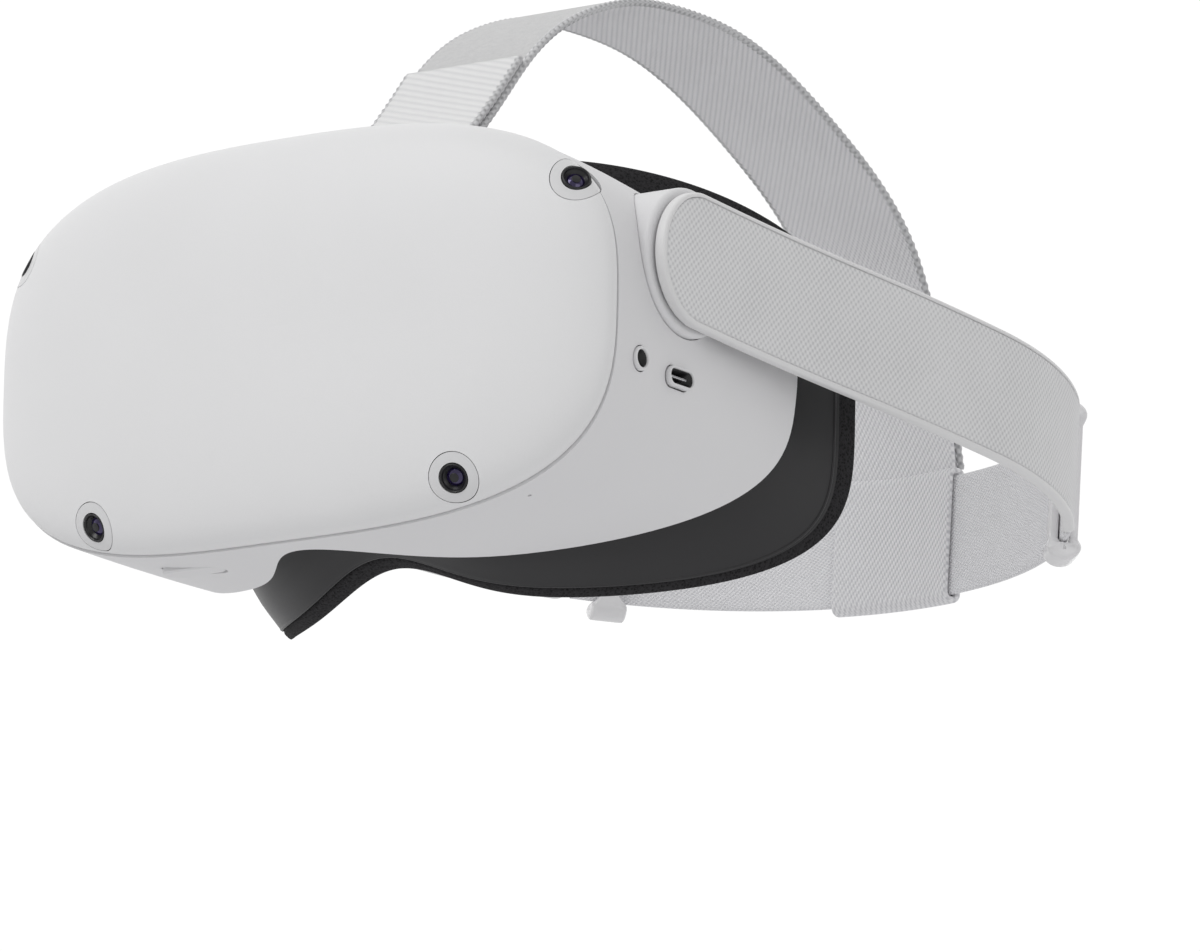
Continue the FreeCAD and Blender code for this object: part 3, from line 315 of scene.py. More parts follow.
# Colour from the pits: painted shade in each pit, and painted highlight on the rims between them.
pit_shade_and_highlight = (pits + foam_black.noise(0.5, 2.0) * 0.4).above(0.30, 0.85)
foam_black.link_surface(foam_black.between(pit_shade_and_highlight, (0.004, 0.004, 0.004), (0.030, 0.029, 0.031)),
                pits * -0.1 + 0.95, pits, 0.30, 0.9)

# %% [markdown]
# ## Metal, glass and boards
# The few metals are plated steel and a dull cast alloy; both are metallic with a fine brushed or
# cast roughness. Glass needs no pattern of its own, only faint smears in its gloss.

# %% Metals and glass
def metal(name, color, roughness, grain, depth):
    """Metal: full metallic, with roughness and bump from stretched or cast noise."""
    finish = Finish(name, color, roughness, Metallic=1.0)
    fine = finish.noise(grain, 3.0)
    return finish.link_surface(finish.between(fine, shade(color, 0.85), shade(color, 1.08)),
                       fine * 0.2 + (roughness - 0.1), fine, depth, 0.8)


plated_steel = metal("plated_steel", (0.60, 0.60, 0.62), 0.28, 0.3, 0.006)
cast_alloy = metal("cast_alloy", (0.42, 0.43, 0.45), 0.5, 0.7, 0.03)


def glass(name, color, roughness, **steady):
    """Clear or tinted glass with faint smears in its gloss."""
    finish = Finish(name, color, roughness, **steady)
    return finish.link_surface(None, finish.noise(6.0, 3.0) * 0.05 + roughness)


clear_glass = glass("clear_glass", (0.92, 0.94, 0.96), 0.02, Transmission_Weight=0.92, IOR=1.49)
coated_glass = glass("coated_glass", (0.02, 0.012, 0.035), 0.03, Coat_Weight=1.0, Coat_Roughness=0.02,
                     Coat_Tint=(0.55, 0.45, 1.0, 1.0), IOR=1.7)
screen_glass = glass("screen_glass", (0.01, 0.012, 0.018), 0.08, Coat_Weight=0.6, IOR=1.5)
frosted = glass("frosted", (0.82, 0.84, 0.86), 0.35, Subsurface_Weight=0.3)

board_green = Finish("board_green", (0.03, 0.12, 0.07), 0.42)
board_x, board_z = (board_green.node("ShaderNodeSeparateXYZ", None, [board_green.place()], axis)
                    for axis in ("X", "Z"))
track = ((board_x * 900.0).sine() * (board_z * 640.0).sine() + board_green.noise(5.0) * 1.4)
board_green.link_surface(board_green.between(track.above(0.5, 0.72), (0.02, 0.09, 0.05), (0.07, 0.24, 0.12)),
                 board_green.noise(1.0) * 0.15 + 0.34, track.above(0.5, 0.72), 0.03)
cell_wrap = moulded("cell_wrap", (0.10, 0.10, 0.115), 0.32, 0.9, 0.02, 0.06)

# %% [markdown]
# ## Surfaces from arrays
# A new piece is a surface of two parameters: rows run along it, columns run round its section. The
# whole grid is worked out at once as an array. Faces that meet at an end or a pole are merged there,
# so every piece is one closed skin with its faces pointing out.

# %% Surface helper
def surface(name, grid, finish, ride, replaces=(), rows_close=False, columns_close=True,
            cloth=None):
    """A mesh piece from a grid of points in metres, with cloth coordinates in millimetres."""
    rows, columns = grid.shape[:2]
    row = np.arange(rows if rows_close else rows - 1)[:, None]
    column = np.arange(columns if columns_close else columns - 1)[None, :]
    corners = [(row, column), (row + 1, column), (row + 1, column + 1), (row, column + 1)]
    faces = np.stack([(r % rows) * columns + c % columns for r, c in corners], axis=-1)
    mesh = bpy.data.meshes.new(name)
    mesh.from_pydata(grid.reshape(-1, 3).tolist(), [], faces.reshape(-1, 4).tolist())
    if cloth is not None:
        spread = np.stack([cloth[r + 0 * c, c + 0 * r] for r, c in corners], axis=2)
        layer = mesh.uv_layers.new(name="cloth")
        layer.data.foreach_set("uv", spread.reshape(-1).astype(np.float32))
    shape = bmesh.new()
    shape.from_mesh(mesh)
    bmesh.ops.remove_doubles(shape, verts=shape.verts, dist=2e-6)
    bmesh.ops.dissolve_degenerate(shape, edges=shape.edges, dist=1e-7)
    bmesh.ops.recalc_face_normals(shape, faces=shape.faces)
    shape.to_mesh(mesh)
    shape.free()
    mesh.shade_smooth()
    mesh.materials.append(finish.material)
    piece = bpy.data.objects.new(name, mesh)
    bpy.context.scene.collection.objects.link(piece)
    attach(piece, ride)
    if replaces:
        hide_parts(*replaces)
    return piece


def closed_ends(grid):
    """The same grid with each end row gathered to its middle, so that the ends are shut."""
    first, last = (np.broadcast_to(grid[end].mean(axis=0), grid[end].shape) for end in (0, -1))
    return np.concatenate([first[None], grid, last[None]])


def tape_section(width, thickness, flat_steps=18, edge_steps=7):
    """A flat tape with round edges, as (across, out) points: straight faces and half-round sides."""
    radius, half = thickness / 2, width / 2 - thickness / 2
    flat = np.linspace(-half, half, flat_steps)
    angle = np.linspace(-math.pi / 2, math.pi / 2, edge_steps)[1:-1]
    low = np.stack([flat, np.full(flat_steps, -radius)], axis=-1)
    near = np.stack([half + radius * np.cos(angle), radius * np.sin(angle)], axis=-1)
    return np.concatenate([low, near, -low, -near])


def around_section(section):
    """How far round its section each point is, in millimetres, with the closing point last."""
    steps = np.linalg.norm(np.diff(section, axis=0, append=section[:1]), axis=-1)
    return np.concatenate([[0.0], np.cumsum(steps)])


# %% [markdown]
# ## The line of the strap
# Seen from above, the strap is an oval of tangent arcs: straight past the pivot, a slow outward S
# along each arm, a wide corner, and a round band behind the head. The direction of such a line is a
# running sum of each arc's curvature, and its place is the sum of each arc's own step, so both can be
# worked out for all points at once from the distance along it.

# %% Strap line
ARM_OUTER, ARM_BOW, BOW_START, BOW_END, ARM_END = 97.2, 4.0, 9.5, 123.8, 37.0
ARM_HALF_HEIGHT, ARM_THICKNESS, BAND_RADIUS, BAND_HALF_ANGLE = 16.7, 3.2, 99.0, 65.0
half_bow = (BOW_END - BOW_START) / 2
bow_radius = (half_bow ** 2 + (ARM_BOW / 2) ** 2) / ARM_BOW
bow_turn = math.asin(half_bow / bow_radius)
corner_turn = math.radians(90.0 - BAND_HALF_ANGLE)
corner_radius = ((ARM_OUTER + ARM_BOW - math.cos(corner_turn) * BAND_RADIUS)
                 / (1 - math.cos(corner_turn)))
band_run = math.radians(2 * BAND_HALF_ANGLE) * BAND_RADIUS
RUNS = [(BOW_START, 0.0), (bow_radius * bow_turn, -1 / bow_radius),
        (bow_radius * bow_turn, 1 / bow_radius), (corner_radius * corner_turn, 1 / corner_radius),
        (band_run, 1 / BAND_RADIUS)]
arm_wrap = (math.radians(ARM_END) - corner_turn) * BAND_RADIUS
ARM_LENGTH = sum(length for length, _ in RUNS[:4]) + arm_wrap
BAND_CENTRE = BOW_END + (corner_radius - BAND_RADIUS) * math.sin(corner_turn)


def strap_line(distance):
    """Place and outward direction on the strap's outer face, at a distance along it."""
    distance = np.asarray(distance, float)
    heading = np.full(distance.shape, math.pi / 2)
    x, y = np.full(distance.shape, ARM_OUTER), np.minimum(distance, 0.0)
    start, toward = 0.0, math.pi / 2
    for length, bend in RUNS:
        run = np.clip(distance - start, 0.0, length)
        if bend:
            x = x + (np.sin(toward + bend * run) - math.sin(toward)) / bend
            y = y - (np.cos(toward + bend * run) - math.cos(toward)) / bend
        else:
            x, y = x + run * math.cos(toward), y + run * math.sin(toward)
        heading = heading + bend * run
        start, toward = start + length, toward + bend * length
    return np.stack([x, y], axis=-1), np.stack([np.sin(heading), -np.cos(heading)], axis=-1)


def on_strap(distance, depth, height, side=1):
    """A point of the strap: a distance along it, a depth below its outer face, and a height."""
    place, outward = strap_line(distance)
    flat = place - outward * np.asarray(depth)[..., None]
    height = np.broadcast_to(height, flat.shape[:-1])
    return strapped(np.stack([side * flat[..., 0], flat[..., 1], height], axis=-1))


print("arm length", round(ARM_LENGTH, 1), "mm; band centre", round(BAND_CENTRE, 2), "mm")

# %% [markdown]
# ## The arms
# Each arm is a flat bar with a round front end over its pivot. A soft white rim runs all the way
# round, and a woven panel is let into it. The bar could be a bevelled box, but it curves and its rim
# has a roll of its own. So it is drawn as rings: the same outline again and again, each time a
# little further in and a little deeper, from the middle of the outer face to that of the inner one.

# %% Arm outline
def arm_outline(inset, end=ARM_LENGTH, corner=4.5):
    """The arm's outline pulled in by an inset: a half circle in front, and a rounded square end."""
    radius = ARM_HALF_HEIGHT - inset
    bend = max(corner - inset, 0.0)
    tail, rise = end - inset - bend, radius - bend
    front = np.linspace(math.pi / 2, 3 * math.pi / 2, 49)
    run = np.linspace(0.0, 1.0, 110)
    rear = np.linspace(-math.pi / 2, 0.0, 9)
    edge = np.linspace(-1.0, 1.0, 12)[1:-1]
    parts = [np.stack([radius * np.cos(front), radius * np.sin(front)], axis=-1),
             np.stack([tail * run[1:], np.full(run[1:].shape, -radius)], axis=-1),
             np.stack([tail + bend * np.cos(rear[1:]), -rise + bend * np.sin(rear[1:])], axis=-1),
             np.stack([np.full(edge.shape, tail + bend), rise * edge], axis=-1),
             np.stack([tail + bend * np.cos(rear[::-1]), rise - bend * np.sin(rear[::-1])], axis=-1),
             np.stack([tail * run[::-1][1:-1], np.full(run[1:-1].shape, radius)], axis=-1)]
    return np.concatenate(parts)


def rolled(radius, steps=6):
    """A quarter round from a face over to a side, as (inset, depth) pairs."""
    angle = np.linspace(0.0, math.pi / 2, steps)
    return [(radius * (1 - math.sin(a)), radius * (1 - math.cos(a))) for a in angle]


def ringed(rings, side, outline=arm_outline):
    """A grid of rings, each given as (inset, depth), and its cloth coordinates."""
    flat = np.stack([outline(inset) for inset, _ in rings])
    depth = np.array([depth for _, depth in rings])[:, None] + 0 * flat[..., 0]
    grid = on_strap(flat[..., 0], depth, flat[..., 1], side)
    cloth = np.concatenate([flat, flat[:, :1]], axis=1)
    return grid, cloth


BORDER, PANEL_DEPTH, EDGE_ROLL, INNER_ROLL = 1.2, 0.8, 0.95, 0.9
body_rings = ([(ARM_HALF_HEIGHT, PANEL_DEPTH), (BORDER + 0.4, PANEL_DEPTH), (BORDER, PANEL_DEPTH),
               (BORDER, 0.3), (BORDER - 0.05, 0.1), (BORDER - 0.15, 0.02)] + rolled(EDGE_ROLL)
              + [(inset, ARM_THICKNESS - depth) for inset, depth in rolled(INNER_ROLL)[::-1]]
              + [(4.0, ARM_THICKNESS), (ARM_HALF_HEIGHT, ARM_THICKNESS)])
panel_rings = [(ARM_HALF_HEIGHT, 0.02), (12.0, 0.02), (8.0, 0.03), (BORDER + 1.6, 0.05),
               (BORDER + 0.9, 0.08), (BORDER + 0.45, 0.16), (BORDER + 0.2, 0.32),
               (BORDER + 0.12, 0.55), (BORDER + 0.12, 0.78), (BORDER + 0.6, 0.79),
               (ARM_HALF_HEIGHT, 0.79)]
for side, name in ((1, "left"), (-1, "right")):
    grid, cloth = ringed(body_rings, side)
    surface(f"arm_body_{name}", grid, rim_white, "head_strap",
            (f"strap_arm_{name}",), cloth=cloth)
    grid, cloth = ringed(panel_rings, side)
    surface(f"arm_panel_{name}", grid, arm_weave, "head_strap",
            (f"arm_fabric_{name}",), cloth=cloth)

# %% [markdown]
# ## Sound slots
# Sound leaves each arm through a small grille on its inner side. It is a thin rounded plate with
# upright slots, so its height is a wave along the arm that is cut off flat, and faded out at the rim.

# %% Grilles
GRILLE_START, GRILLE_LENGTH, GRILLE_HEIGHT, GRILLE_PITCH = 22.0, 24.0, 10.0, 2.0
for side, name in ((1, "left"), (-1, "right")):
    u, v = np.linspace(-1.0, 1.0, 145)[:, None], np.linspace(-1.0, 1.0, 25)[None, :]
    s = GRILLE_START + GRILLE_LENGTH / 2 * (1 + u) + 0 * v
    z = GRILLE_HEIGHT / 2 * v + 0 * u
    wave = 0.5 + 0.5 * np.cos(FULL_TURN * (s - GRILLE_START) / GRILLE_PITCH)
    inside = np.clip((1 - np.abs(v)) * 4 - 0.6, 0, 1) * np.clip((1 - np.abs(u)) * 9 - 0.6, 0, 1)
    rise = 0.30 - 0.42 * np.clip(wave * 2.2 - 0.8, 0, 1) * inside
    rise = rise * np.clip((1 - np.abs(v)) * 9, 0, 1) * np.clip((1 - np.abs(u)) * 22, 0, 1) - 0.05
    face = on_strap(s, ARM_THICKNESS + rise, z, side)
    base = on_strap(s, np.full(s.shape, ARM_THICKNESS - 0.4), z, side)
    grid = np.concatenate([face, base[:, ::-1]], axis=1)
    surface(f"arm_grille_{name}", closed_ends(grid), satin_black, "head_strap",
            (f"arm_speaker_{name}",))

# %% [markdown]
# ## The rear band
# Behind the head the strap is a wide elastic tape with a woven edge. A tape is one flat section
# carried along the strap's line. Its cloth coordinates are the distance along it and round it.

# %% Rear band
BAND_INSET, BAND_THICKNESS = 0.5, 2.2
BAND_WIDTH = 2 * ARM_HALF_HEIGHT - 1.0
section = tape_section(BAND_WIDTH, BAND_THICKNESS, 22)
band_end = ARM_LENGTH + band_run - 2 * arm_wrap
distance = np.linspace(ARM_LENGTH + 0.05, band_end - 0.05, 260)
middle = BAND_INSET + BAND_THICKNESS / 2
along, across, out = np.broadcast_arrays(distance[:, None], section[None, :, 0], section[None, :, 1])
grid = on_strap(along, middle - out, across)
cloth = np.stack(np.broadcast_arrays(np.concatenate([distance[:1], distance, distance[-1:]])[:, None],
                                     around_section(section)[None, :]), axis=-1)
surface("rear_band_tape", closed_ends(grid), band_twill, "head_strap", ("rear_band",),
        cloth=cloth)

# %% [markdown]
# ## A woven loop round the band
# The crown strap ends in a loop of the same webbing that goes right round the band. Its path is a
# rounded rectangle in the band's own section, and its width follows the band's curve. The straight
# sides and quarter-round corners are worked out by pushing a small circle out along a rectangle.

# %% Loop path
def round_rectangle(half_width, half_height, radius, steps=7, side_steps=9):
    """A closed path as (out, up) points: four quarter circles joined by straight sides."""
    angle = np.linspace(0.0, math.pi / 2, steps)
    parts = []
    for quarter, (sign_out, sign_up) in enumerate(((1, 1), (-1, 1), (-1, -1), (1, -1))):
        turned = angle + quarter * math.pi / 2
        middle = np.array([sign_out * (half_width - radius), sign_up * (half_height - radius)])
        parts.append(middle + radius * np.stack([np.cos(turned), np.sin(turned)], axis=-1))
    path = []
    for part, following in zip(parts, parts[1:] + parts[:1]):
        step = np.linspace(0.0, 1.0, side_steps + 1)[1:-1, None]
        path += [part, part[-1] + (following[0] - part[-1]) * step]
    return np.concatenate(path)


def outward_of(path):
    """The outward direction at each point of a closed path that runs anticlockwise."""
    step = np.roll(path, -1, axis=0) - np.roll(path, 1, axis=0)
    normal = np.stack([step[:, 1], -step[:, 0]], axis=-1)
    return normal / np.linalg.norm(normal, axis=-1, keepdims=True)


def band_ring(path, section, degrees, swell=1.0, flare=1.0):
    """A section carried round a path that circles the band, at an angle from straight back.
    Its thickness and its width may swell and flare along the path."""
    out = outward_of(path)
    wide = section[None, :, 0] * np.reshape(flare, (-1, 1))
    thick = section[None, :, 1] * np.reshape(swell, (-1, 1))
    radius = BAND_RADIUS - middle + path[:, :1] + out[:, :1] * thick
    height = path[:, 1:] + out[:, 1:] * thick
    turn = math.radians(90.0 + degrees) + wide / BAND_RADIUS
    return strapped(np.stack([radius * np.cos(turn), BAND_CENTRE + radius * np.sin(turn),
                              height + 0 * wide], axis=-1))


def ring_cloth(path, section):
    """Cloth coordinates of a ring: how far round the path, and how far across the section."""
    round_path = around_section(path)
    across = np.concatenate([section[:, 0], section[:1, 0]])
    return np.stack(np.broadcast_arrays(round_path[:, None], across[None, :]), axis=-1)


CLEARANCE, WEB_THICKNESS, LOOP_WIDTH = 0.4, 1.7, 38.0
loop_half = BAND_THICKNESS / 2 + CLEARANCE + WEB_THICKNESS / 2
loop_rise = BAND_WIDTH / 2 + CLEARANCE + WEB_THICKNESS / 2
loop_path = round_rectangle(loop_half, loop_rise, 1.9)
web_section = tape_section(LOOP_WIDTH, WEB_THICKNESS, 24)
surface("band_loop", band_ring(loop_path, web_section, 0.0), strap_twill,
        "head_strap", ("strap_loop",), rows_close=True,
        cloth=ring_cloth(loop_path, web_section) * np.array([1.0, -1.0]))

# %% [markdown]
# ## The sliders
# Two gloss white clips ride on the band and set its length. Each is a slim moulded bar that runs
# round the band and swells into a broad rounded foot above and below it. A smooth step in height
# drives both swellings, so the bar flows into its feet without a seam.

# %% Sliders
SLIDER_WIDTH, SLIDER_WALL, SLIDER_OVERHANG, SLIDER_ANGLE = 10.0, 2.2, 4.5, 47.0
slider_path = round_rectangle(BAND_THICKNESS / 2 + CLEARANCE + SLIDER_WALL / 2,
                              BAND_WIDTH / 2 + CLEARANCE + SLIDER_OVERHANG / 2, 2.5, 9, 27)
share = np.abs(slider_path[:, 1]) / slider_path[:, 1].max()
foot = np.clip((share - 0.80) / 0.14, 0.0, 1.0)
foot = foot ** 2 * (3 - 2 * foot)
swell = 1 + foot * (SLIDER_OVERHANG / SLIDER_WALL - 1)
for side, name in ((1, "left"), (-1, "right")):
    corner = round_rectangle(SLIDER_WIDTH / 2, SLIDER_WALL / 2, 1.0, 6, 5)
    grid = band_ring(slider_path, corner, -side * SLIDER_ANGLE, swell, 0.54 + 0.46 * foot)
    surface(f"slider_clip_{name}", grid, gloss_white, f"slider_{name}",
            (f"band_slider_{name}",), rows_close=True, cloth=ring_cloth(slider_path, corner))

# %% [markdown]
# ## The crown strap
# One length of webbing runs from a slot in the housing over the head to the band. Its outside is
# felt and its inside twill, and both long edges are bound by a twisted cord. The line is a natural
# cubic spline: the smooth curve through a few points whose bending changes evenly. Solving for its
# slopes is one small linear system, and every point then comes from the same four-term formula.

# %% Natural spline
def natural_spline(knots, count):
    """Points and unit tangents along the natural cubic spline through the knots."""
    knots = np.asarray(knots, float)
    span = np.linalg.norm(np.diff(knots, axis=0), axis=-1)
    start = np.concatenate([[0.0], np.cumsum(span)])
    system, known = np.eye(len(knots)), np.zeros_like(knots)
    inner = np.arange(1, len(knots) - 1)
    system[inner, inner - 1], system[inner, inner + 1] = span[:-1], span[1:]
    system[inner, inner] = 2 * (span[:-1] + span[1:])
    slope = np.diff(knots, axis=0) / span[:, None]
    known[inner] = 6 * np.diff(slope, axis=0)
    bend = np.linalg.solve(system, known)
    where = np.linspace(0.0, start[-1], count)
    k = np.clip(np.searchsorted(start, where, side="right") - 1, 0, len(span) - 1)
    h, a, b = span[k, None], (start[k + 1] - where)[:, None], (where - start[k])[:, None]
    place = ((bend[k] * a ** 3 + bend[k + 1] * b ** 3) / (6 * h)
             + (knots[k] / h - bend[k] * h / 6) * a + (knots[k + 1] / h - bend[k + 1] * h / 6) * b)
    tangent = np.gradient(place, axis=0)
    return place, tangent / np.linalg.norm(tangent, axis=-1, keepdims=True)


STRAP_WIDTH = 36.0
CROWN_LINE = [(54.1, 50.3), (60.5, 56.6), (67.5, 63.6), (77.0, 74.2), (88.0, 87.0), (101.0, 98.0),
              (116.0, 106.0), (134.0, 112.0), (155.0, 114.3), (178.0, 113.6), (201.0, 108.0),
              (224.0, 98.5), (243.0, 88.5), (258.0, 76.0), (268.0, 60.0)]
loop_top = (strapped([0.0, BAND_CENTRE + BAND_RADIUS - 1.0, loop_rise]) - ORIGIN) / MM
CROWN_LINE += [(loop_top[1] - 5.0, 38.0), (loop_top[1], loop_top[2] + 0.9)]
FLAP_LINE = [(52.2, 52.7), (58.9, 58.4), (66.0, 65.3), (75.4, 75.6), (84.2, 86.2)]


def along_line(line, count):
    """Distance, place and outward direction in the middle plane of the head."""
    place, tangent = natural_spline(line, count)
    distance = np.concatenate([[0.0], np.cumsum(np.linalg.norm(np.diff(place, axis=0), axis=-1))])
    return distance, place, np.stack([-tangent[:, 1], tangent[:, 0]], axis=-1)


def webbing(line, section, count):
    """A tape along a line over the head, and its cloth coordinates."""
    distance, place, outward = along_line(line, count)
    raised = place[:, None] + outward[:, None] * (section[None, :, 1:] + WEB_THICKNESS / 2)
    across = np.broadcast_to(section[None, :, 0], raised.shape[:2])
    grid = placed(np.stack([across, raised[..., 0], raised[..., 1]], axis=-1))
    ends = np.concatenate([distance[:1], distance, distance[-1:]])
    width = np.concatenate([section[:, 0], section[:1, 0]])
    return closed_ends(grid), np.stack(np.broadcast_arrays(ends[:, None], width[None, :]), axis=-1)


# %% [markdown]
# ## Two faces, one tape
# Felt outside and twill inside is one piece of cloth, so it is one mesh with two finishes. A face is
# felt where it looks away from the middle of the head. At the back a second layer, the loop's tail,
# leaves the inside of the loop and joins the inside of the strap a little higher up.

# %% Crown strap
def felt_outside(piece, finish):
    """Give a second finish to the faces that look away from the head."""
    mesh = piece.data
    mesh.materials.append(finish.material)
    centre = np.zeros(len(mesh.polygons) * 3, np.float32)
    normal = np.zeros(len(mesh.polygons) * 3, np.float32)
    mesh.polygons.foreach_get("center", centre)
    mesh.polygons.foreach_get("normal", normal)
    centre, normal = centre.reshape(-1, 3), normal.reshape(-1, 3)
    head = placed([0.0, 165.0, 20.0])
    outer = (np.einsum("ij,ij->i", centre - head, normal) > 0) & (np.abs(normal[:, 0]) < 0.25)
    mesh.polygons.foreach_set("material_index", outer.astype(np.int32))


SELVEDGE, TAIL_RISES = 1.2, np.array([34.0, 26.0, 18.0])
crown_section = tape_section(STRAP_WIDTH - SELVEDGE, WEB_THICKNESS, 26)
grid, cloth = webbing(CROWN_LINE, crown_section, 230)
crown = surface("crown_strap", grid, strap_twill, "head_strap", ("top_strap",),
                cloth=cloth)
felt_outside(crown, strap_felt)
grid, cloth = webbing(FLAP_LINE, crown_section, 60)
surface("crown_flap", grid, flap_twill, "head_strap", ("strap_flap",), cloth=cloth)

distance, place, outward = along_line(CROWN_LINE, 230)
loop_inside = strapped([0.0, BAND_CENTRE + BAND_RADIUS - middle - loop_half, loop_rise - 1.5])
knots = np.searchsorted(distance, distance[-1] - TAIL_RISES)
tail_line = list(place[knots] - WEB_THICKNESS * outward[knots])
tail_line.append(((loop_inside - ORIGIN) / MM)[1:])
grid, cloth = webbing(tail_line, crown_section, 60)
surface("loop_tail", grid, strap_twill, "head_strap", cloth=cloth)

# %% [markdown]
# ## Bound edges
# The edge cords are two-ply: their section is a circle with two lobes that turn as they go. In
# numbers the radius is 1 + 0.16 cos(2 angle - turns), so the twist is in the shape itself.

# %% Edge cords
CORD_RADIUS, CORD_PITCH = 0.92, 4.6
round_angle = np.linspace(0.0, FULL_TURN, 13)[:-1]


def edge_cord(line, across, count, offset):
    """A twisted cord beside a tape, at a place across it."""
    distance, place, outward = along_line(line, count)
    lobes = 1 + 0.16 * np.cos(2 * round_angle[None, :] - FULL_TURN * distance[:, None] / CORD_PITCH * 2)
    middle_line = place + outward * offset
    side_step = CORD_RADIUS * lobes * np.cos(round_angle)[None, :]
    rise = CORD_RADIUS * lobes * np.sin(round_angle)[None, :]
    raised = middle_line[:, None] + outward[:, None] * rise[..., None]
    grid = placed(np.stack([across + side_step, raised[..., 0], raised[..., 1]], axis=-1))
    cloth = np.stack(np.broadcast_arrays(
        np.concatenate([distance[:1], distance, distance[-1:]])[:, None],
        np.append(round_angle, FULL_TURN)[None, :] * CORD_RADIUS), axis=-1)
    return closed_ends(grid), cloth


edge_thread = basket("edge_thread", (0.34, 0.34, 0.35), (0.66, 0.66, 0.67), 1.1)
cord_across = STRAP_WIDTH / 2 - CORD_RADIUS
for side, name in ((1, "left"), (-1, "right")):
    grid, cloth = edge_cord(CROWN_LINE, side * cord_across, 620, WEB_THICKNESS / 2)
    surface(f"crown_edge_{name}", grid, edge_thread, "head_strap", cloth=cloth)
    grid, cloth = edge_cord(FLAP_LINE, side * cord_across, 120, WEB_THICKNESS / 2)
    surface(f"flap_edge_{name}", grid, edge_thread, "head_strap", cloth=cloth)

# %% [markdown]
# ## The foam pad
# The pad is cut from a foam sheet and its edges are soft. It isn't stuffed cloth, so a cloth
# simulation has nothing to blow up here: the shape is a ring round the face whose section is a
# rounded rectangle, written as a superellipse. The ring itself is a rounded outline that arches over
# the nose, dips at the brow, and bends back at the sides to follow the face.

# %% Foam ring
PAD_HALF_WIDTH, PAD_TOP, PAD_BOTTOM, PAD_ROUNDNESS, PAD_WAIST = 81.0, 58.0, 55.6, 3.85, 11.0
PAD_CENTRE, PAD_SWEEP, PAD_SPAN, FOAM_SWELL = 62.0, 150.0, 92.0, 2.5
FOAM_THICKNESS, FOAM_WIDTH, FUNNEL_LENGTH = 5.0, 14.0, 28.0
FLARE_AT = np.array([0.0, 2.0, 4.0, 5.0, 6.5, 8.0, 11.0, 20.0, 28.0])
FLARE_TOP = np.array([0.0, 0.25, 0.66, 0.86, 1.05, 1.17, 1.2, 1.2, 1.2])
FLARE_BOTTOM = np.array([0.0, 0.03, 0.1, 0.15, 0.22, 0.3, 0.45, 1.0, 1.18])
SWELL_SHARE = np.array([0.0, 0.4, 0.8, 1.0, 1.0, 0.9, 0.7, 0.3, 0.0])


def full_setback(setback, angle):
    """A setback, with the foam thicker above and below than it is at the sides."""
    return setback - FOAM_SWELL * np.interp(setback, FLARE_AT, SWELL_SHARE) * np.cos(2 * angle)


def pad_outline(angle, setback, inset):
    """The face pad's outline at a setback from the face, pulled in by an inset."""
    flare_top = PAD_WAIST * np.interp(setback, FLARE_AT, FLARE_TOP)
    flare_bottom = PAD_WAIST * np.interp(setback, FLARE_AT, FLARE_BOTTOM)
    half_width = PAD_HALF_WIDTH - inset - 0.75 * flare_bottom
    top, bottom = PAD_TOP - inset - flare_top, inset + flare_bottom - PAD_BOTTOM
    middle_height, half_height = (top + bottom) / 2, (top - bottom) / 2
    reach = (np.abs(np.cos(angle) / half_width) ** PAD_ROUNDNESS
             + np.abs(np.sin(angle) / half_height) ** PAD_ROUNDNESS) ** (-1 / PAD_ROUNDNESS)
    x, z = reach * np.cos(angle), middle_height + reach * np.sin(angle)
    corner = (flare_top * (1 - setback / FUNNEL_LENGTH) * z / PAD_TOP
              * np.abs(x / PAD_HALF_WIDTH) ** 4)
    brow = corner - 5.0 * np.exp(-(x / 22.0) ** 2)
    arch = np.where(np.sin(angle) < 0, 10.0 * np.exp(-(x / 22.0) ** 2), brow)
    depth = PAD_CENTRE + PAD_SWEEP * (1 - np.sqrt(1 - np.minimum(np.abs(x) / PAD_SPAN, 1) ** 2))
    return np.stack([x, depth - full_setback(setback, angle), z + arch], axis=-1)


def squircle(count, power):
    """A rounded square from -1 to 1 as a superellipse, its points spread evenly in angle."""
    angle = np.linspace(0.0, FULL_TURN, count + 1)[:-1]
    radius = (np.abs(np.cos(angle)) ** power + np.abs(np.sin(angle)) ** power) ** (-1 / power)
    return np.stack([radius * np.cos(angle), radius * np.sin(angle)], axis=-1)


ring_angle = np.linspace(0.0, FULL_TURN, 385)[:-1]
foam_section = squircle(44, 7.0) * np.array([FOAM_WIDTH / 2, FOAM_THICKNESS / 2 - 0.1])
foam_section += np.array([FOAM_WIDTH / 2, FOAM_THICKNESS / 2])
setback = foam_section[None, :, 1] + 0 * ring_angle[:, None]
turns = ring_angle[:, None] + 0 * setback
outer = pad_outline(turns, setback, 0.0)
inner = pad_outline(turns, 0.0, FOAM_WIDTH)
inner[..., 1] -= full_setback(setback, turns)
share = (foam_section[None, :, 0] / FOAM_WIDTH)[..., None]
ring = outer + (inner - outer) * share
pad_foam = surface("pad_foam", placed(ring), foam_black, "headset", ("face_foam",),
                   rows_close=True)

# %% [markdown]
# ## The lip of the face pad
# Where the plastic funnel meets the foam it ends in a thin rolled lip, which catches the light as a
# fine line. It is a small round section carried along the pad's outline.

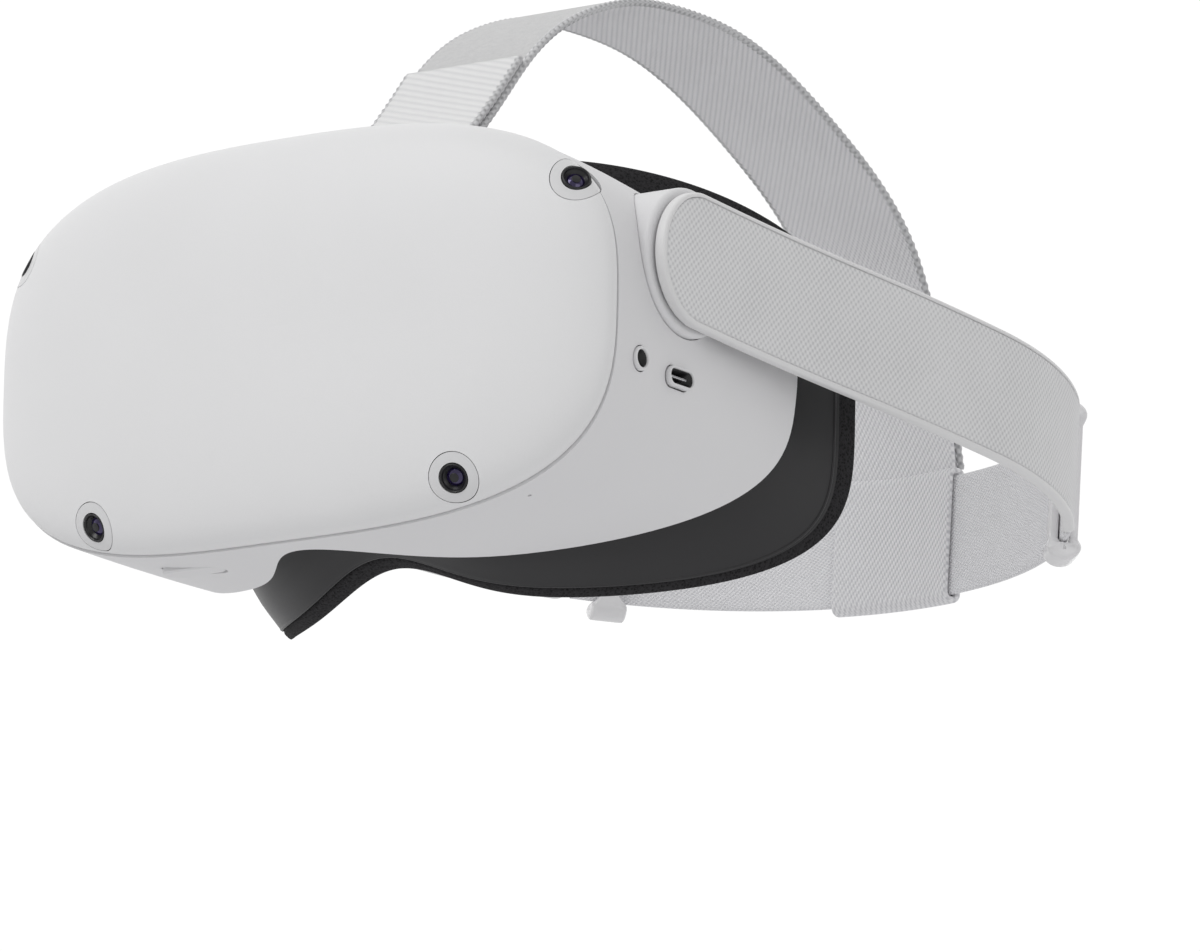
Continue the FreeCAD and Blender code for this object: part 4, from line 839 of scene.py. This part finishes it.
# %% Pad lip
LIP_RADIUS, LIP_SETBACK = 0.5, 5.4
lip_line = pad_outline(ring_angle, LIP_SETBACK, 0.35)
following = np.roll(lip_line, -1, axis=0) - np.roll(lip_line, 1, axis=0)
following /= np.linalg.norm(following, axis=-1, keepdims=True)
sideways = np.cross(following, np.array([0.0, 1.0, 0.0]))
sideways /= np.linalg.norm(sideways, axis=-1, keepdims=True)
forward = np.cross(sideways, following)
lip_angle = np.linspace(0.0, FULL_TURN, 11)[:-1]
ring = (lip_line[:, None] + LIP_RADIUS * (sideways[:, None] * np.cos(lip_angle)[None, :, None]
                                          + forward[:, None] * np.sin(lip_angle)[None, :, None]))
surface("pad_lip", placed(ring), satin_black, "headset", rows_close=True)

# %% [markdown]
# ## Turned pieces
# Camera lenses, the eye lenses and their collars are all turned shapes: a profile of radius against
# height, swept round an axis. The axis of each camera stands square to the dome, and the dome's
# slope gives its direction.

# %% Turned pieces and camera axes
DOME_DEPTH, DOME_FULLNESS, SEAM_SWEEP, VISOR_ROUNDNESS = 12.8, 2.54, 8.8, 3.04


def dome(x, z):
    """The visor's skin: its seam, less a lift that grows towards the middle."""
    share = (np.abs(x / VISOR_HALF_WIDTH) ** VISOR_ROUNDNESS
             + np.abs((z - VISOR_MIDDLE) / VISOR_HALF_HEIGHT) ** VISOR_ROUNDNESS) ** (1 / VISOR_ROUNDNESS)
    lift = DOME_DEPTH * np.maximum(1 - share ** DOME_FULLNESS, 0) ** (1 / DOME_FULLNESS)
    return DOME_DEPTH + SEAM_SWEEP * (x / VISOR_HALF_WIDTH) ** 2 - lift


def turned(name, profile, spot, axis, finish, slot, ride, replaces=(), steps=64):
    """A profile of (radius, height) points swept round an axis from a spot, in millimetres."""
    axis = np.array(axis, float) / np.linalg.norm(axis)
    aside = np.cross(axis, [0.0, 0.0, 1.0])
    aside /= np.linalg.norm(aside)
    across = np.cross(axis, aside)
    profile = np.asarray(profile, float)
    angle = np.linspace(0.0, FULL_TURN, steps + 1)[:-1]
    spoke = aside * np.cos(angle)[:, None] + across * np.sin(angle)[:, None]
    grid = (np.array(spot) + profile[:, None, 1:] * axis
            + profile[:, None, :1] * spoke[None, :, :])
    return surface(name, placed(grid), finish, ride, replaces)


def domed(radius, rise, base, steps=9):
    """Profile points of a shallow dome, from its rim to its pole."""
    share = np.linspace(1.0, 0.0, steps)
    return [(radius * s, base + rise * (1 - s ** 2)) for s in share]


# %% [markdown]
# ## Tracking cameras
# Each camera is a dark barrel with a bevelled mouth, a domed lens with a violet coating, and a small
# black disc at the lens's middle. The glass shows colour only where its coating reflects, so the
# coating is a tinted clear coat over a nearly black body.

# %% Cameras
CAMERAS = {"low": (54.3, -38.9), "high": (83.4, 32.9)}
for level, (across, height) in CAMERAS.items():
    for side, name in ((1, "left"), (-1, "right")):
        x = side * across
        slope_x = (dome(x + 0.4, height) - dome(x - 0.4, height)) / 0.8
        slope_z = (dome(x, height + 0.4) - dome(x, height - 0.4)) / 0.8
        spot, outward = np.array([x, dome(x, height), height]), np.array([slope_x, -1.0, slope_z])
        outward /= np.linalg.norm(outward)
        where = f"{level}_{name}"
        barrel = [(0.0, -8.8), (3.4, -8.8), (3.6, -8.5), (3.6, -0.35), (3.5, -0.15), (3.35, -0.05),
                  (3.2, -0.1), (3.0, -0.55), (2.9, -1.0), (2.3, -1.15), (2.25, -1.6), (0.0, -1.6)]
        turned(f"camera_barrel_{where}", barrel, spot, outward, deep_black, "camera_glass",
               "headset", (f"camera_module_{where}",))
        turned(f"camera_lens_{where}", [(0.0, -1.7), (2.2, -1.7)] + domed(2.2, 0.75, -1.45),
               spot, outward, coated_glass, "camera_glass", "headset")
        turned(f"camera_iris_{where}", [(0.0, -0.72), (1.15, -0.72)] + domed(1.15, 0.12, -0.70),
               spot, outward, deep_black, "camera_glass", "headset", steps=32)

# %% [markdown]
# ## Eye lenses
# The lenses are stepped: a thick lens sliced into rings and pressed flat. In profile that is a
# shallow dome from which a sawtooth has been taken away, so the grooves are real geometry and glint
# in rings as they do on the real part. A soft collar hides where lens and barrel meet.

# %% Eye lenses
LENS_SPACING, LENS_HEIGHT, LENS_RADIUS, LENS_BACK, GROOVES = 63.0, 2.5, 21.0, 52.0, 24
share = np.linspace(0.0, 1.0, GROOVES * 4 + 1)
tooth = np.tile([0.0, 0.32, 0.64, 0.96], GROOVES)
crown_height = 1.6 * (1 - share ** 2)
radius = share * (LENS_RADIUS - 0.35)
height = np.append(crown_height[:-1] - tooth * 0.34 * (share[:-1] > 0.12), 0.0)
lens_profile = [(0.0, -3.0), (LENS_RADIUS - 0.35, -3.0)] + list(zip(radius[::-1], height[::-1]))
collar = [(21.0, -2.6), (23.0, -2.6), (23.0, 0.9), (22.7, 1.35), (22.2, 1.55), (21.4, 1.5),
          (20.7, 1.1), (20.3, 0.5), (20.3, -0.4), (20.6, -0.9)]
for side, name in ((1, "left"), (-1, "right")):
    spot = (side * LENS_SPACING / 2, LENS_BACK - 1.8, LENS_HEIGHT)
    turned(f"eye_lens_{name}", lens_profile, spot, (0, 1, 0), clear_glass, "lens_clear",
           f"lens_carriage_{name}", (f"lens_{name}",), 96)
    turned(f"lens_collar_{name}", collar + collar[:1], (spot[0], LENS_BACK - 0.2, LENS_HEIGHT),
           (0, 1, 0), satin_black, "black_plastic", f"lens_carriage_{name}", (), 96)

# %% [markdown]
# ## Sound and charging sockets
# A round socket and a flat one sit in the left side of the housing. Each is a black lining with a
# fine moulded rim round its mouth. The flat one is a round one stretched: its rings follow a rounded
# rectangle, and a steel tongue stands in the middle.

# %% Sockets
PORT_RIM, TONGUE_HALF_WIDTH, TONGUE_HALF_HEIGHT = 0.9, 3.2, 0.35
jack_box, port_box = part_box("audio_jack_socket"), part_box("usb_c_socket")


def mouth_of(box):
    """The middle of a socket's outer face, in millimetres of the working frame."""
    low, high = (np.array(corner) for corner in box)
    middle_point = (np.array([high[0], (low[1] + high[1]) / 2, (low[2] + high[2]) / 2]) - ORIGIN) / MM
    return middle_point, (high - low) / MM / 2


def slotted(name, profile, spot, half_width, half_height, finish, replaces=()):
    """A profile of (outset, height) points carried round a slot with round ends, facing left."""
    rings = [round_rectangle(half_width + outset, half_height + outset, half_height + outset - 0.05)
             for outset, _ in profile]
    rise = np.array([height for _, height in profile])[:, None] + 0 * rings[0][None, :, 0]
    grid = np.stack([rise, np.stack(rings)[..., 0], np.stack(rings)[..., 1]], axis=-1)
    return surface(name, placed(np.array(spot) + grid), finish, "headset", replaces)


spot = mouth_of(jack_box)[0]
turned("audio_lining", [(0.0, -8.0), (2.25, -8.0), (2.25, -0.6), (2.05, -0.7), (1.9, -7.0), (0.0, -7.0)],
       spot, (1, 0, 0), deep_black, "black_plastic", "headset", ("audio_jack_socket",))
# The socket rims take the white plastic darkened as painted shade.
turned("audio_rim", [(2.2, -2.0), (3.0, -2.0), (3.0, -0.2), (2.85, -0.05), (2.4, -0.05), (2.2, -0.3),
                     (2.2, -2.0)], spot, (1, 0, 0), shaded_white_shell, "white_shell", "headset")
spot, half = mouth_of(port_box)
wide, tall = half[1] - PORT_RIM, half[2] - PORT_RIM
slotted("charge_lining", [(0.35 - tall, -7.5), (0.3, -7.5), (0.3, -0.5), (0.05, -0.6), (0.0, -6.8),
                          (0.35 - tall, -6.8)], spot, wide, tall, deep_black,
        ("usb_c_socket",))
# This rim too is the white plastic darkened as painted shade.
slotted("charge_rim", [(0.25, -2.0), (PORT_RIM, -2.0), (PORT_RIM, -0.25), (0.75, -0.05), (0.4, -0.05),
                       (0.25, -0.3), (0.25, -2.0)], spot, wide, tall, shaded_white_shell)
slotted("charge_tongue", [(-0.3, -6.9), (0.0, -6.9), (0.0, -1.3), (-0.08, -1.15), (-0.3, -1.12)], spot,
        TONGUE_HALF_WIDTH, TONGUE_HALF_HEIGHT, plated_steel)

# %% [markdown]
# ## Finishes for the CAD parts
# The rigid parts keep their exact shapes and only take a finish. A table of names is the whole job.

# %% Finish the frame's own nodes
SIDES = ("left", "right")
FINISHES = {
    white_shell: ["front_visor"],
    # The housing and the parts on its sides take the white plastic darkened as painted shade.
    shaded_white_shell: ["rear_housing", "volume_rocker", "power_button"] + [f"pivot_boss_{s}" for s in SIDES],
    bezel_white: [f"camera_bezel_{level}_{s}" for level in CAMERAS for s in SIDES],
    satin_black: ["interface_frame", "lens_plate", "cooling_fan"]
    + [f"{part}_{s}" for part in ("lens_barrel", "rail_bracket") for s in SIDES],
    deep_black: ["proximity_sensor"],
    screen_glass: ["display_panel"],
    cast_alloy: ["inner_frame", "heat_sink"],
    plated_steel: ["lens_rail", "pivot_shaft_left", "pivot_shaft_right"],
    board_green: ["mainboard"],
    cell_wrap: ["battery"],
    frosted: ["status_light"],
}
for finish, names in FINISHES.items():
    for name in names:
        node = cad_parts[name]
        node.data.materials.clear()
        node.data.materials.append(finish.material)
left_over = [name for name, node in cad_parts.items()
             if not node.hide_render and not any(name in names for names in FINISHES.values())]
print("CAD nodes without a finish:", left_over)

# %% [markdown]
# ## The studio
# The surround is a world shader that brightens smoothly towards one direction behind the headset.
# Two soft boxes model the form: a large key from the upper front, and a weak fill from one side.

# %% Studio
bpy.context.scene.view_settings.view_transform = "Standard"
FLOOR_DROP, FLOOR_REACH = 2.6, 30.0
floor_mesh = bpy.data.meshes.new("studio_floor")
floor_mesh.from_pydata([(x, y, -FLOOR_DROP) for x, y in ((-FLOOR_REACH, -FLOOR_REACH),
                        (FLOOR_REACH, -FLOOR_REACH), (FLOOR_REACH, FLOOR_REACH),
                        (-FLOOR_REACH, FLOOR_REACH))], [], [(0, 1, 2, 3)])
floor = bpy.data.objects.new("studio_floor", floor_mesh)
bpy.context.scene.collection.objects.link(floor)
pale = Finish("studio_pale", (0.86, 0.86, 0.87), 0.8)
pale.link_surface(pale.between(pale.noise(900.0), (0.84, 0.84, 0.85), (0.88, 0.88, 0.885)))
floor_mesh.materials.append(pale.material)

world = bpy.data.worlds.new("studio")
bpy.context.scene.world = world
world.use_nodes = True
nodes, links = world.node_tree.nodes, world.node_tree.links
direction = nodes.new("ShaderNodeTexCoord").outputs["Generated"]
facing = nodes.new("ShaderNodeVectorMath")
facing.operation = "DOT_PRODUCT"
facing.inputs[1].default_value = (-0.56, 0.80, 0.22)
glow = nodes.new("ShaderNodeMapRange")
glow.interpolation_type = "SMOOTHSTEP"
for socket, value in ((1, -0.6), (2, 0.95), (3, 0.47), (4, 1.03)):
    glow.inputs[socket].default_value = value
links.new(direction, facing.inputs[0])
links.new(facing.outputs["Value"], glow.inputs[0])
links.new(glow.outputs[0], nodes["Background"].inputs["Strength"])
nodes["Background"].inputs["Color"].default_value = (1.0, 1.0, 1.0, 1.0)


def soft_box(name, spot, size, power, color=(1.0, 1.0, 1.0)):
    """A square area light that faces the headset."""
    light = bpy.data.lights.new(name, "AREA")
    light.shape, light.size, light.energy, light.color = "SQUARE", size, power, color
    lamp = bpy.data.objects.new(name, light)
    bpy.context.scene.collection.objects.link(lamp)
    lamp.location = spot
    lamp.rotation_mode = "QUATERNION"
    lamp.rotation_quaternion = (Vector((0, 0, 0.06)) - lamp.location).to_track_quat("-Z", "Y")
    return lamp


soft_box("key", (-0.5, -1.9, 1.5), 1.4, 19.0)
soft_box("fill", (1.9, -0.9, 0.2), 1.2, 4.0)
